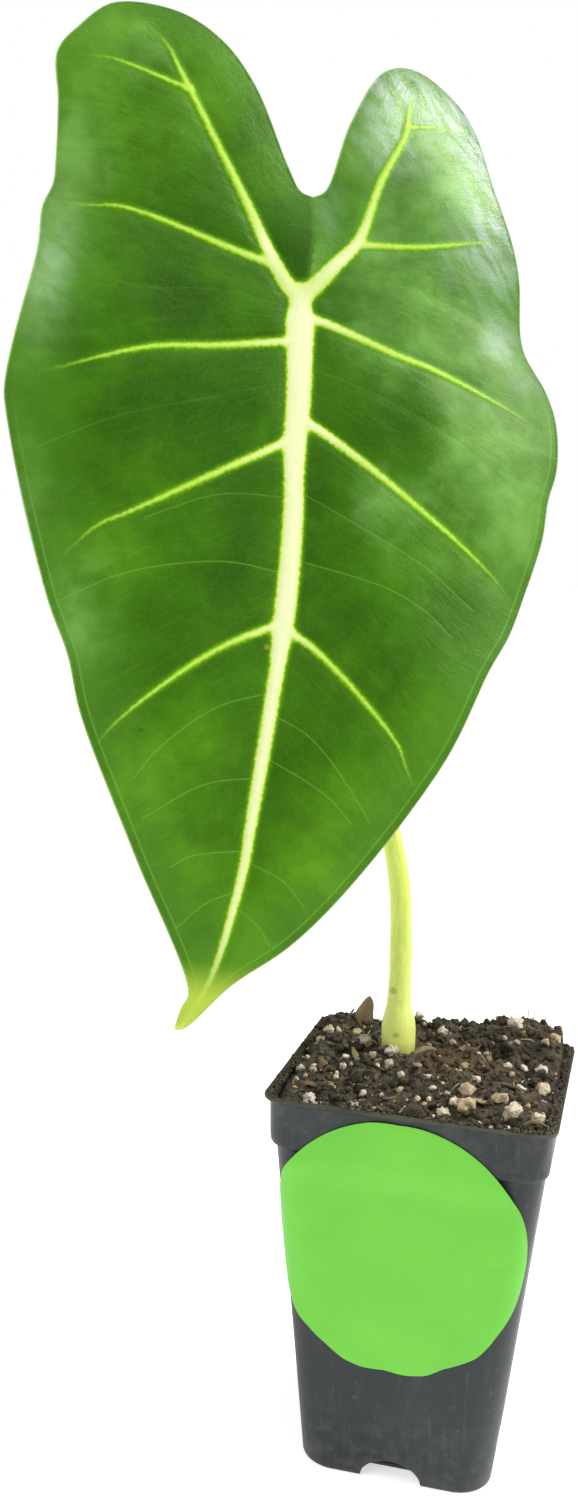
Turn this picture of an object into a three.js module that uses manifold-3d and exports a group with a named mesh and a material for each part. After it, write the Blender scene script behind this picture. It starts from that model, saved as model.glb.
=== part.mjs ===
// A potted velvet alocasia: one large arrow-shaped leaf on its stalk, in a deep square nursery pot.
// Millimetres, +Z up. The origin is the middle of the pot's foot, and the round label faces -Y.
import * as THREE from "three";
import { mergeVertices } from "three/addons/utils/BufferGeometryUtils.js";
import Module from "manifold-3d";

const wasm = await Module();
wasm.setup();

const CLEARANCE = 0.3; // between pieces that touch

// The pot: a rounded square that tapers to its foot, with a collar and a lip at the top.
const POT = { height: 82, lipHalf: 29.3, lipTall: 1.2, footHalf: 20, shoulderHalf: 27.1, wall: 0.8 };
const COLLAR = { bottom: 71.3, step: 0.9, half: 28, topHalf: 28.4 };
const CORNER = { foot: 7.5, shoulder: 6.2, collar: 5.4, lip: 5.0 };
const CORNER_STEPS = 6;
const NOTCH = { width: 12.8, height: 4.6, depth: 5 };

// The label: a thin round sticker on the front wall, wrapped round both corners and up the collar,
// which it reaches by bridging the step below it.
const LABEL = { halfWidth: 26.8, halfHeight: 27.2, x: -1.25, z: 53.3, thickness: 0.4, bridge: 8 };

// The soil: crumbly mix that falls away towards the wall.
const SOIL = { middle: 83.4, edgeDrop: 3.2, slopeX: 0.03, slopeY: 0.05, edgeTop: 80.8 };
// Where the soil is heaped: x, y, how high and how wide
const HEAPS = [
  [17, 20, 3.6, 12],
  [-6, 19, 2, 5],
  [-7, 1, 1.6, 6.5],
];
const CLODS = { count: 34, smallest: 1.6, largest: 3 };
// Pale grains that show on the surface: x, y and how far across.
const GRAINS = [
  [-7.5, 0.6, 4.2],
  [-16, 7.5, 3.8],
  [-12.8, 2.6, 3.2],
  [-13, 18.5, 4.6],
  [-19, -22, 3.6],
  [-3, -17, 4.4],
  [-0.5, -23.5, 3.8],
  [2, -20, 2.8],
  [7.5, -24, 3.8],
  [10, -12.5, 3.2],
  [16, 4.5, 4.2],
  [10.5, -3, 3],
  [22.5, 4, 3.2],
  [23, -11.5, 4],
  [19.5, -20.5, 3.4],
  [-1, 21.5, 3.6],
  [9, 13.5, 3],
  [-22.5, -12, 3],
];
// A chip of bark that stands up behind the stalk: x, y, height of its middle, length and lean.
const BARK = { x: -18.2, y: 22, z: 83.8, length: 9.5, width: 3.6, thickness: 1.8, lean: 0.12 };

// The corm and its roots, buried under the stalk.
const CORM = { x: -7, y: 3.6, top: 70, height: 22, radius: 9, seat: 5.2 };
const ROOTS = { count: 9, reach: 13.5, thick: 1.4, thin: 0.6, lowest: 12, twist: 0.5 };

// The blade's frame: the joint where the stalk meets it, the way to its right, to its tip and out of
// its face.
const JOINT = new THREE.Vector3(-33.25, -10, 240.25);
const RIGHT = new THREE.Vector3(0.9192, 0.3847, -0.0836);
const TIPWARD = new THREE.Vector3(0.0258, -0.2708, -0.9623);
const FACE = new THREE.Vector3(0.3929, -0.8824, 0.2588);
const BLADE_THICKNESS = 0.8;
const BLADE_COLUMNS = 5;
const BLADE_ROWS = 50; // on each side

// The blade's outline and midrib in its own frame, millimetres right of the joint and towards the tip.
const LEFT_MARGIN = [
  [1, -20.5],
  [-1.5, -21.2],
  [-4.5, -26],
  [-12.5, -42],
  [-20, -50.5],
  [-29.5, -55],
  [-42, -54],
  [-48.5, -46.5],
  [-52, -40],
  [-50.8, -31],
  [-50, -20],
  [-50, -15],
  [-51.5, -10],
  [-51.5, 0],
  [-54.5, 28.5],
  [-54, 32],
  [-42.5, 67.5],
  [-37.5, 78],
  [-34, 88.5],
  [-21.5, 113],
  [-8.5, 138],
  [-9.5, 140.5],
  [-10.5, 145],
];
const RIGHT_MARGIN = [
  [1, -20.5],
  [3.2, -22],
  [7.5, -38.5],
  [14, -52],
  [21.5, -55],
  [31.5, -51.5],
  [35.5, -46],
  [39.5, -31],
  [46.5, -13.5],
  [49, 0.5],
  [54.5, 8.5],
  [56.5, 15],
  [56.5, 27],
  [55, 34],
  [54.5, 43],
  [49.5, 61],
  [44, 71.5],
  [36, 90.5],
  [20.5, 115],
  [10, 127.5],
  [-0.5, 136],
  [-8.5, 144.5],
  [-10.5, 145],
];
const MIDRIB = [
  [0, 0],
  [1.5, 23],
  [1.5, 31],
  [2.5, 46.5],
  [2.5, 67.5],
  [0, 106.5],
  [-0.5, 114],
  [-5, 136],
  [-9.3, 143],
];
// How far down the margin a vein ends, and how far down the midrib it starts.
const VEIN_RISE = [
  [10, 0],
  [25, 10],
  [65, 30],
  [96, 67],
  [112, 97],
  [122, 111],
  [136, 134],
  [145, 142.5],
];
// The ribs that stand out of the blade: their route, and half their width at the root and the end.
const RIBS = [
  { route: MIDRIB, root: 2.4, end: 0.5 },
  { route: [[0, 0], [-5.5, -5], [-14.5, -20], [-28, -42], [-34, -49]], root: 1.7, end: 0.5 },
  { route: [[-25.5, -38], [-33, -40.2], [-45, -40.6]], root: 0.7, end: 0.4 },
  { route: [[-5.5, -4.5], [-22, -8.2], [-36.5, -11.5], [-45, -11]], root: 0.8, end: 0.4 },
  { route: [[1, 10], [-14.5, 14], [-28.5, 17], [-43, 23.2]], root: 0.9, end: 0.4 },
  { route: [[1.5, 30], [-28.5, 49], [-37, 55]], root: 0.8, end: 0.4 },
  { route: [[2.5, 66.5], [-10, 73.5], [-27, 89]], root: 0.7, end: 0.4 },
  { route: [[1, 96.5], [-9.5, 99], [-18.5, 105]], root: 0.5, end: 0.4 },
  { route: [[0.5, 0], [6, -7], [10.5, -11.5], [14, -25.5], [19.5, -40], [21.5, -50]], root: 1.7, end: 0.5 },
  { route: [[19.5, -40], [25, -42.5], [30.5, -43]], root: 0.6, end: 0.4 },
  { route: [[10.5, -11.5], [22, -13], [38, -18.5]], root: 0.8, end: 0.4 },
  { route: [[1, 5.5], [20.5, 10.5], [35, 13.3], [49, 17]], root: 0.9, end: 0.4 },
  { route: [[1.5, 26.5], [25, 39.5], [45, 51.8]], root: 0.8, end: 0.4 },
  { route: [[2.5, 67.5], [9.5, 71.5], [27.5, 89]], root: 0.7, end: 0.4 },
  { route: [[0.5, 92], [9, 96], [17.5, 102]], root: 0.5, end: 0.4 },
];
const RIB = { front: 0.3, back: 0.3, depth: 0.6 }; // how far it stands out, and more where it is wide

// The stalk: from its seat on the corm, up behind the blade and forward into the joint.
const STALK_HEEL = { length: 5, root: 2.9, end: 2.3 }; // the blade's own stub that the stalk meets
const STALK_ROUTE = [
  [-7.1, 3.7, CORM.top + CLEARANCE],
  [-7.3, 4.6, 84],
  [-8, 6.5, 92],
  [-8.8, 9.3, 105],
  [-10.4, 12, 118.6],
  [-16.5, 15.2, 140.6],
  [-25, 17, 175],
  [-31.3, 14.5, 205],
  [-35.6, 9.5, 224],
  [-37.7, 4.5, 232.5],
];
// Half the stalk's width at its height above the foot: the swollen base, the sheath and the neck.
const STALK_HALF_WIDTH = [
  [70, 4.6],
  [84, 3.5],
  [88.5, 3.6],
  [90.8, 3.3],
  [92.6, 2.75],
  [96, 2.5],
  [112, 2.4],
  [150, 2.2],
  [205, 1.95],
  [232, 1.95],
  [240, 2.2],
];

// Numbers and curves

// A repeatable run of random numbers from 0 to 1.
function randomFrom(seed) {
  let state = seed;
  return () => {
    state = (state + 0x6d2b79f5) | 0;
    let t = Math.imul(state ^ (state >>> 15), 1 | state);
    t = (t + Math.imul(t ^ (t >>> 7), 61 | t)) ^ t;
    return ((t ^ (t >>> 14)) >>> 0) / 4294967296;
  };
}

// The value at x of a line drawn through (x, value) pairs.
function along(pairs, x) {
  const next = pairs.findIndex(([at]) => at > x);
  if (next === 0) return pairs[0][1];
  if (next < 0) return pairs.at(-1)[1];
  const [x0, y0] = pairs[next - 1];
  const [x1, y1] = pairs[next];
  return THREE.MathUtils.mapLinear(x, x0, x1, y0, y1);
}

// A smooth curve through flat or spatial points.
function curveThrough(points) {
  const vectors = points.map(([x, y, z = 0]) => new THREE.Vector3(x, y, z));
  return new THREE.CatmullRomCurve3(vectors, false, "centripetal");
}

const ease = THREE.MathUtils.smoothstep;

// Closed meshes, and joining and cutting them

function geometryOf(points, triangles) {
  const geometry = new THREE.BufferGeometry().setFromPoints(points);
  geometry.setIndex(triangles);
  return geometry;
}

function solidOf(geometry) {
  const bare = geometry.clone();
  bare.deleteAttribute("normal");
  bare.deleteAttribute("uv");
  const merged = mergeVertices(bare, 1e-4);
  const vertProperties = new Float32Array(merged.attributes.position.array);
  const triVerts = new Uint32Array(merged.index.array);
  return new wasm.Manifold(new wasm.Mesh({ numProp: 3, vertProperties, triVerts }));
}

function geometryFrom(solid) {
  const mesh = solid.getMesh();
  const geometry = new THREE.BufferGeometry();
  geometry.setAttribute("position", new THREE.BufferAttribute(mesh.vertProperties, 3));
  geometry.setIndex(new THREE.BufferAttribute(mesh.triVerts, 1));
  return geometry;
}

const joined = (geometries) => geometries.map(solidOf).reduce((sum, next) => sum.add(next));

// The largest body of a solid: loose crumbs are dropped, and hollows sealed by joining are filled.
const largest = (solid) => solid.decompose().reduce((a, b) => (b.volume() > a.volume() ? b : a));

// One closed skin over rings of equally many points, anticlockwise about the way that it runs.
function loft(rings) {
  const count = rings[0].length;
  const points = rings.flat();
  const triangles = [];
  for (let ring = 0; ring + 1 < rings.length; ring++) {
    for (let i = 0; i < count; i++) {
      const a = ring * count + i;
      const b = ring * count + ((i + 1) % count);
      triangles.push(a, b, b + count, a, b + count, a + count);
    }
  }
  const middle = (ring) => ring.reduce((sum, p) => sum.add(p), new THREE.Vector3()).divideScalar(count);
  const first = points.push(middle(rings[0])) - 1;
  const last = points.push(middle(rings.at(-1))) - 1;
  const lastRing = (rings.length - 1) * count;
  for (let i = 0; i < count; i++) {
    const next = (i + 1) % count;
    triangles.push(first, next, i, last, lastRing + i, lastRing + next);
  }
  return geometryOf(points, triangles);
}

// A round bar along a curve, with its half width given for each step from 0 to 1.
function bar(curve, halfWidth, steps, sides) {
  const frames = curve.computeFrenetFrames(steps);
  const rings = [];
  for (let step = 0; step <= steps; step++) {
    const middle = curve.getPointAt(step / steps);
    const radius = halfWidth(step / steps, middle);
    const ring = [];
    for (let side = 0; side < sides; side++) {
      const turn = (2 * Math.PI * side) / sides;
      const point = middle.clone();
      point.addScaledVector(frames.normals[step], radius * Math.cos(turn));
      point.addScaledVector(frames.binormals[step], radius * Math.sin(turn));
      ring.push(point);
    }
    rings.push(ring);
  }
  return loft(rings);
}

// A closed sheet over rows of places, alike on both faces, with a rim all round. Rows turn
// anticlockwise as seen from outside, and may meet in one place.
function sheet(rows, onSurface, outside, inside) {
  const numbers = new Map();
  const outer = [];
  const inner = [];
  const vertex = ([p, q]) => {
    const key = `${p.toFixed(3)} ${q.toFixed(3)}`;
    if (!numbers.has(key)) {
      numbers.set(key, outer.length);
      outer.push(onSurface(p, q, outside));
      inner.push(onSurface(p, q, inside));
    }
    return numbers.get(key);
  };
  const faces = [];
  for (let r = 0; r + 1 < rows.length; r++) {
    for (let c = 0; c + 1 < rows[r].length; c++) {
      const [a, b] = [vertex(rows[r][c]), vertex(rows[r][c + 1])];
      const [d, e] = [vertex(rows[r + 1][c]), vertex(rows[r + 1][c + 1])];
      faces.push([a, b, e], [a, e, d]);
    }
  }
  const whole = faces.filter(([a, b, c]) => a !== b && b !== c && c !== a);
  const edges = new Set(whole.flatMap(([a, b, c]) => [`${a} ${b}`, `${b} ${c}`, `${c} ${a}`]));
  const count = outer.length;
  const triangles = [];
  for (const [a, b, c] of whole) {
    triangles.push(a, b, c, count + a, count + c, count + b);
    for (const [from, to] of [[a, b], [b, c], [c, a]]) {
      if (edges.has(`${to} ${from}`)) continue;
      triangles.push(from, count + from, to, to, count + from, count + to);
    }
  }
  return geometryOf([...outer, ...inner], triangles);
}

// The pot

// A level rounded square, anticlockwise from above, with points along its straight sides if asked.
function roundedSquare(half, radius, z, sideSteps = 1) {
  const points = [];
  const flat = half - radius;
  for (let side = 0; side < 4; side++) {
    const quarter = (side * Math.PI) / 2;
    for (let step = 0; step <= CORNER_STEPS; step++) {
      const turn = quarter + (step / CORNER_STEPS) * (Math.PI / 2);
      const [sx, sy] = [[1, 1], [-1, 1], [-1, -1], [1, -1]][side];
      const x = sx * flat + radius * Math.cos(turn);
      const y = sy * flat + radius * Math.sin(turn);
      points.push(new THREE.Vector3(x, y, z));
    }
    const corner = points.at(-1);
    const way = new THREE.Vector3(-Math.cos(quarter), -Math.sin(quarter), 0);
    for (let step = 1; step < sideSteps; step++) {
      points.push(corner.clone().addScaledVector(way, (2 * flat * step) / sideSteps));
    }
  }
  return points;
}

// Half the pot's width and its corner radius at a height, on the plain wall below the collar.
function wallAt(z) {
  const share = z / COLLAR.bottom;
  const half = THREE.MathUtils.lerp(POT.footHalf, POT.shoulderHalf, share);
  const corner = THREE.MathUtils.lerp(CORNER.foot, CORNER.shoulder, share);
  return { half, corner };
}

// The tool that cuts the arched drainage notches out of the foot, one in the middle of each side.
function notches(grow, depth) {
  const halfWidth = NOTCH.width / 2 + grow;
  const arch = new THREE.Shape();
  arch.moveTo(halfWidth, -2);
  arch.lineTo(halfWidth, 0);
  arch.absellipse(0, 0, halfWidth, NOTCH.height + grow, 0, Math.PI);
  arch.lineTo(-halfWidth, -2);
  const length = depth + 4;
  const block = new THREE.ExtrudeGeometry(arch, { depth: length, bevelEnabled: false, curveSegments: 8 });
  block.rotateX(Math.PI / 2);
  block.translate(0, depth - POT.footHalf, 0);
  const turned = [0, 1, 2, 3].map((side) => block.clone().rotateZ((side * Math.PI) / 2));
  return joined(turned);
}

function pot() {
  const { wall, height } = POT;
  const collarTop = COLLAR.bottom + COLLAR.step;
  const outside = [
    [POT.footHalf - 0.5, CORNER.foot - 0.4, 0],
    [POT.footHalf - 0.1, CORNER.foot - 0.1, 0.3],
    [POT.footHalf, CORNER.foot, 0.8],
    [POT.shoulderHalf, CORNER.shoulder, COLLAR.bottom],
    [COLLAR.half, CORNER.collar, collarTop],
    [COLLAR.topHalf, CORNER.collar, height - POT.lipTall],
    [POT.lipHalf - 0.1, CORNER.lip, height - 0.8],
    [POT.lipHalf, CORNER.lip, height - 0.2],
    [POT.lipHalf - 0.2, CORNER.lip - 0.1, height],
  ];
  const inside = [
    [COLLAR.topHalf - 0.1, CORNER.collar - wall, height],
    [COLLAR.topHalf - wall, CORNER.collar - wall, height - 1],
    [COLLAR.half - wall, CORNER.collar - wall, collarTop + 0.4],
    [POT.shoulderHalf - wall, CORNER.shoulder - wall, COLLAR.bottom + 0.3],
    [POT.footHalf - wall + 0.1, CORNER.foot - wall, wall + 0.8],
    [POT.footHalf - wall - 0.7, CORNER.foot - wall - 0.5, wall],
  ];
  const rings = [...outside, ...inside].map(([half, corner, z]) => roundedSquare(half, corner, z));
  return geometryFrom(solidOf(loft(rings)).subtract(notches(0, NOTCH.depth)));
}

// The label

// A place on the front wall: how far round from the front's middle, at what height, how far off it.
function onFrontWall(round, z, lift) {
  const { half, corner } = wallAt(z);
  const collarTop = COLLAR.bottom + COLLAR.step;
  const bridged = ease(z, collarTop - LABEL.bridge, collarTop);
  const upCollar = THREE.MathUtils.inverseLerp(collarTop, POT.height - POT.lipTall, Math.max(z, collarTop));
  const collarHalf = THREE.MathUtils.lerp(COLLAR.half, COLLAR.topHalf, upCollar);
  const out = THREE.MathUtils.lerp(half, Math.max(collarHalf, half), bridged);
  const radius = THREE.MathUtils.lerp(corner, CORNER.collar, bridged);
  const flat = out - radius;
  const turn = Math.max(0, Math.abs(round) - flat) / radius;
  const x = Math.min(Math.abs(round), flat) + (radius + lift) * Math.sin(turn);
  const y = -flat - (radius + lift) * Math.cos(turn);
  return new THREE.Vector3(Math.sign(round) * x, y, z);
}

function label() {
  const columns = 12;
  const rows = 9;
  const strips = [];
  for (let column = columns; column >= -columns; column--) {
    const turn = (Math.PI / 2) * (column / columns);
    const across = LABEL.halfWidth * Math.sin(turn);
    const tall = LABEL.halfHeight * Math.cos(turn);
    const strip = [];
    for (let row = 0; row <= rows; row++) {
      strip.push([LABEL.x + across, LABEL.z + tall * ((2 * row) / rows - 1)]);
    }
    strips.push(strip);
  }
  const lift = CLEARANCE + 0.05;
  return sheet(strips, onFrontWall, lift + LABEL.thickness, lift);
}

// The plant below the soil. Each piece can be grown a little, to cut its own bed out of the soil.

function corm(grow) {
  const { top, height, radius, seat } = CORM;
  const profile = [
    [0, top - height],
    [radius * 0.45, top - height * 0.96],
    [radius * 0.85, top - height * 0.78],
    [radius, top - height * 0.5],
    [radius * 0.86, top - height * 0.22],
    [seat + 0.6, top - height * 0.05],
    [seat, top],
    [0, top],
  ];
  const points = profile.map(([x, z], i) => {
    const lifted = i === 0 ? -grow : i > 5 ? grow : 0;
    return new THREE.Vector2(x > 0 ? x + grow : 0, z + lifted);
  });
  const turned = new THREE.LatheGeometry(points, 16).rotateX(Math.PI / 2);
  return turned.translate(CORM.x, CORM.y, 0);
}

function roots(grow) {
  const random = randomFrom(11);
  const bars = [];
  for (let i = 0; i < ROOTS.count; i++) {
    const start = (2 * Math.PI * i) / ROOTS.count + 0.3 * random();
    const twist = ROOTS.twist * (random() - 0.5);
    const reach = ROOTS.reach * (0.75 + 0.25 * random());
    const foot = ROOTS.lowest + 14 * random();
    const from = CORM.top - CORM.height * 0.7;
    const points = [0, 0.2, 0.45, 0.7, 1].map((share) => {
      const out = THREE.MathUtils.lerp(4, reach, ease(share, 0, 0.6));
      const turn = start + twist * share + 0.12 * Math.sin(9 * share + i);
      const keepIn = 1 - 0.35 * share; // the pot narrows downwards
      const x = CORM.x * keepIn + out * Math.cos(turn);
      const y = CORM.y * keepIn + out * Math.sin(turn);
      return [x, y, THREE.MathUtils.lerp(from, foot, share ** 1.2)];
    });
    const halfWidth = (share) => THREE.MathUtils.lerp(ROOTS.thick, ROOTS.thin, share) + grow;
    bars.push(bar(curveThrough(points), halfWidth, 8, 6));
  }
  return bars;
}

// The stalk

function stalkCurve() {
  const seat = STALK_HEEL.length + CLEARANCE;
  const neck = [seat + 5, seat].map((back) => onBlade(0, 0, -back).toArray());
  return curveThrough([...STALK_ROUTE, ...neck]);
}

function stalk(grow) {
  const halfWidth = (_, middle) => along(STALK_HALF_WIDTH, middle.z) + grow;
  return bar(stalkCurve(), halfWidth, 32, 12);
}

// The soil

function soilTop(x, y) {
  const edge = Math.max(Math.abs(x), Math.abs(y)) / (POT.shoulderHalf - POT.wall);
  const rough = 0.7 * Math.sin(0.55 * x + 1) * Math.cos(0.5 * y) + 0.4 * Math.sin(1.1 * x - 0.9 * y);
  const slope = SOIL.slopeX * x + SOIL.slopeY * y;
  const heaped = HEAPS.reduce((sum, [heapX, heapY, height, spread]) => {
    return sum + height * Math.exp(-((Math.hypot(x - heapX, y - heapY) / spread) ** 2));
  }, 0);
  return SOIL.middle + slope + heaped - SOIL.edgeDrop * edge ** 4 + rough;
}

// A rough lump with flat facets, as wide as it is asked to be.
function lump(random, across, stretch) {
  const ball = new THREE.IcosahedronGeometry(across / 2, 0);
  ball.deleteAttribute("normal");
  ball.deleteAttribute("uv");
  const shape = mergeVertices(ball, 1e-3);
  const position = shape.attributes.position;
  for (let i = 0; i < position.count; i++) {
    const size = 0.8 + 0.35 * random();
    position.setXYZ(i, position.getX(i) * size, position.getY(i) * size, position.getZ(i) * size);
  }
  shape.scale(1, 1, stretch);
  shape.rotateX(0.6 * (random() - 0.5)).rotateZ(2 * Math.PI * random());
  return shape;
}

function soilLumps() {
  const random = randomFrom(5);
  const lumps = [];
  for (const [x, y, across] of GRAINS) {
    const grain = lump(random, across, 0.85);
    lumps.push(grain.translate(x, y, soilTop(x, y) + across * 0.04));
  }
  const inner = COLLAR.half - POT.wall - CLODS.largest - 0.8;
  for (let i = 0; i < CLODS.count; i++) {
    const x = inner * (2 * random() - 1);
    const y = inner * (2 * random() - 1);
    const across = 2 * THREE.MathUtils.lerp(CLODS.smallest, CLODS.largest, random() ** 2);
    const clod = lump(random, across, 0.7);
    lumps.push(clod.translate(x, y, soilTop(x, y) + across * 0.06));
  }
  const chip = new THREE.BoxGeometry(BARK.width, BARK.thickness, BARK.length);
  chip.rotateY(BARK.lean).rotateX(-BARK.lean / 2);
  lumps.push(chip.translate(BARK.x, BARK.y, BARK.z));
  return lumps;
}

function soil() {
  const sideSteps = 5;
  const gap = CLEARANCE;
  const { wall } = POT;
  const collarTop = COLLAR.bottom + COLLAR.step;
  const side = [
    [POT.footHalf - wall - 0.7 - gap, CORNER.foot - wall - 0.5 - gap, wall + gap],
    [POT.footHalf - wall + 0.05 - gap, CORNER.foot - wall - gap, wall + 0.8 + gap],
    [POT.shoulderHalf - wall - gap, CORNER.shoulder - wall - gap, COLLAR.bottom + 0.2],
    [COLLAR.half - wall - gap, CORNER.collar - wall - gap, collarTop + 0.8],
  ];
  const rings = side.map(([half, corner, z]) => roundedSquare(half, corner, z, sideSteps));
  const edge = rings.at(-1);
  for (const share of [1, 0.94, 0.86, 0.75, 0.6, 0.4, 0.2]) {
    const ring = edge.map((corner) => {
      const [x, y] = [corner.x * share, corner.y * share];
      return new THREE.Vector3(x, y, soilTop(x, y));
    });
    if (share === 1) ring.forEach((point) => (point.z = Math.min(point.z, SOIL.edgeTop)));
    rings.push(ring);
  }
  const plug = joined([loft(rings), ...soilLumps()]);
  const bed = joined([corm(gap + 0.05), ...roots(gap + 0.05), stalk(gap + 0.05)]);
  const cut = plug.subtract(bed).subtract(notches(0.4, NOTCH.depth + 0.4));
  return geometryFrom(largest(cut));
}

// The blade

// How far the blade stands out of its own plane: folded along the midrib, arched towards the tip,
// curled back at the right margin and the lobes, and waved along both margins.
function bladeHeight(u, v) {
  const fold = 0.11 * (Math.sqrt(u * u + 16) - 4) - 0.0017 * u * u;
  const arch = -5 * ((v - 30) / 100) ** 2;
  const rightCurl = -9 * ease(u, 15, 62) * (1 - ease(v, 20, 95));
  const lobeCurl = -7 * (1 - ease(v, -60, -15)) * ease(u, 0, 40);
  const edge = Math.min(Math.abs(u) / 50, 1.15) ** 2.2;
  const phase = u < 0 ? (v + 13) / 62 : (v + 1) / 60;
  const wave = -2.6 * edge * Math.cos(2 * Math.PI * phase) * (1 - ease(v, 45, 105));
  return fold + arch + rightCurl + lobeCurl + wave;
}

function onBlade(u, v, lift) {
  const point = JOINT.clone().addScaledVector(RIGHT, u).addScaledVector(TIPWARD, v);
  return point.addScaledVector(FACE, bladeHeight(u, v) + lift);
}

// Rows from the midrib to the margin, all the way round from the notch between the lobes.
function bladeRows() {
  const midrib = curveThrough(MIDRIB)
    .getPoints(80)
    .map(({ x, y }) => [y, x]);
  const leftMargin = curveThrough(LEFT_MARGIN).getSpacedPoints(BLADE_ROWS);
  const rightMargin = curveThrough(RIGHT_MARGIN).getSpacedPoints(BLADE_ROWS).reverse();
  const margin = [...leftMargin, ...rightMargin.slice(1)];
  return margin.map((end) => {
    const rootV = end.y < VEIN_RISE[0][0] ? 0 : along(VEIN_RISE, end.y);
    const root = new THREE.Vector3(along(midrib, rootV), rootV, 0);
    const row = [];
    for (let column = 0; column <= BLADE_COLUMNS; column++) {
      const place = root.clone().lerp(end, column / BLADE_COLUMNS);
      row.push([place.x, place.y]);
    }
    return row;
  });
}

// A rib that runs through the blade: a low ridge on its face and a deeper one on its underside.
function rib({ route, root, end }) {
  const curve = curveThrough(route);
  const steps = Math.max(4, Math.round(curve.getLength() / 11));
  const rings = [];
  for (let step = 0; step <= steps; step++) {
    const share = step / steps;
    const place = curve.getPointAt(share);
    const tangent = curve.getTangentAt(share);
    const halfWidth = THREE.MathUtils.lerp(root, end, share);
    const above = BLADE_THICKNESS / 2 + RIB.front * (1 - 0.5 * share);
    const below = BLADE_THICKNESS / 2 + RIB.back + RIB.depth * halfWidth;
    const section = [
      [1, 0],
      [0, above],
      [-1, 0],
      [-0.5, -below],
      [0.5, -below],
    ];
    const ring = section.map(([side, lift]) => {
      const across = side * halfWidth;
      return onBlade(place.x + tangent.y * across, place.y - tangent.x * across, lift);
    });
    rings.push(ring);
  }
  return loft(rings);
}

function bladeHeel() {
  const ends = [BLADE_THICKNESS / 2 + RIB.front + 0.15, -STALK_HEEL.length];
  const halfWidth = (share) => THREE.MathUtils.lerp(STALK_HEEL.root, STALK_HEEL.end, share);
  return bar(curveThrough(ends.map((lift) => onBlade(0, 0, lift).toArray())), halfWidth, 1, 12);
}

function blade() {
  const half = BLADE_THICKNESS / 2;
  const body = sheet(bladeRows(), onBlade, half, -half);
  return geometryFrom(largest(joined([body, ...RIBS.map(rib), bladeHeel()])));
}

// The whole

function piece(name, geometry, color, roughness) {
  const material = new THREE.MeshStandardMaterial({ color, roughness, metalness: 0 });
  const mesh = new THREE.Mesh(geometry, material);
  mesh.name = name;
  return mesh;
}

const plant = new THREE.Group();
plant.add(piece("corm_and_roots", geometryFrom(joined([corm(0), ...roots(0)])), 0x8a6a48, 0.9));
plant.add(piece("petiole", stalk(0), 0xc8d868, 0.5));
plant.add(piece("leaf_blade", blade(), 0x50822c, 0.45));

const holder = new THREE.Group();
holder.add(piece("pot", pot(), 0x4b4d4f, 0.5));
holder.add(piece("label", label(), 0x80da53, 0.45));
holder.add(piece("soil", soil(), 0x463e33, 0.95));

const pottedPlant = new THREE.Group();
pottedPlant.add(holder, plant);

export default pottedPlant;
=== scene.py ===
# The looks of the potted velvet alocasia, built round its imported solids. Lengths are in millimetres
# until a mesh is made, in the solids' own frame: the foot's middle is the origin, the label faces -Y.
import math

import bmesh
import bpy
import numpy as np
from mathutils import Matrix, Vector, noise
from mathutils.geometry import delaunay_2d_cdt


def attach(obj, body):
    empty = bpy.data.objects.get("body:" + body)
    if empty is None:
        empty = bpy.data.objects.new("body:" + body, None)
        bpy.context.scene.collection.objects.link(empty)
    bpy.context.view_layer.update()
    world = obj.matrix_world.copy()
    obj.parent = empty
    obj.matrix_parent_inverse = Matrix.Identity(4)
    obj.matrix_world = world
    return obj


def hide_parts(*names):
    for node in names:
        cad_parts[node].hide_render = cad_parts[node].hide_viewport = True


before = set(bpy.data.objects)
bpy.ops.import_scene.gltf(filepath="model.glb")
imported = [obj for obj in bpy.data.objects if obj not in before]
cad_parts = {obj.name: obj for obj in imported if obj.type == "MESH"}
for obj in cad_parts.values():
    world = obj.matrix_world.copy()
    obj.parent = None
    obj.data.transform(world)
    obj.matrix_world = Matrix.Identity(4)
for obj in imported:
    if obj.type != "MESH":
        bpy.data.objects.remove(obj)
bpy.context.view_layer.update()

MM = 0.001
random = np.random.default_rng(7)

FAR = 1e9  # More than any distance here
TOUCH = 1e-3  # Points closer than this are one place
CURVE_STEPS = 16  # Points between two given points of a curve
VEIN_STEP = 0.7  # From point to point along a vein
VEIN_WEB = 1.2  # How far the edges of two veins blend where they meet
HARMONIC_ROUNDS = 700

# The pot's marks from the foot up, each as half its width, its corners' radius and its height
FOOT = np.array([20, 7.5, 0])
SHOULDER = np.array([27.1, 6.2, 71.3])
COLLAR = np.array([28, 5.4, 72.2])
TOP = np.array([28.4, 5.4, 82])
LIP = np.array([29.3, 5.0, 82])
WALL = 0.8
BOW_TOP = 71  # Up to here the walls bow
NOTCH = {"width": 12.8, "height": 4.6, "depth": 5}
LABEL = {"half_width": 26.9, "half_height": 27.3, "x": -1.15, "z": 53.2, "bridge": 8, "lift": 0.16,
         "thickness": 0.22}
# The label's wavy outline: its reach at each turn, anticlockwise from the right
LABEL_WAVES = [
    [0, 1], [80, 0.99], [90, 0.983], [102, 1], [222, 1], [230, 0.98], [240, 0.994], [250, 1.028], [258, 1.03],
    [268, 1.002], [277, 1.026], [286, 1.03], [294, 0.996], [310, 1.01], [324, 0.978], [340, 0.994], [360, 1],
]

# The soil's surface
SOIL = {"middle": 83.4, "edge_drop": 3.2, "slope_x": 0.03, "slope_y": 0.05, "edge_top": 80.8,
        "half": 26.3, "gap": 0.15, "notch_gap": 0.4}
HEAPS = [[17, 20, 3.6, 12], [-6, 19, 2, 5], [-7, 1, 1.6, 6.5]]  # x, y, how high and how wide
# How far out the loose bits and the fibres may lie, and how clear of the stalk
SOWN_HALF = 27
FIBRE_HALF = 26.6
STALK_CLEAR = 4.6

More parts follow.
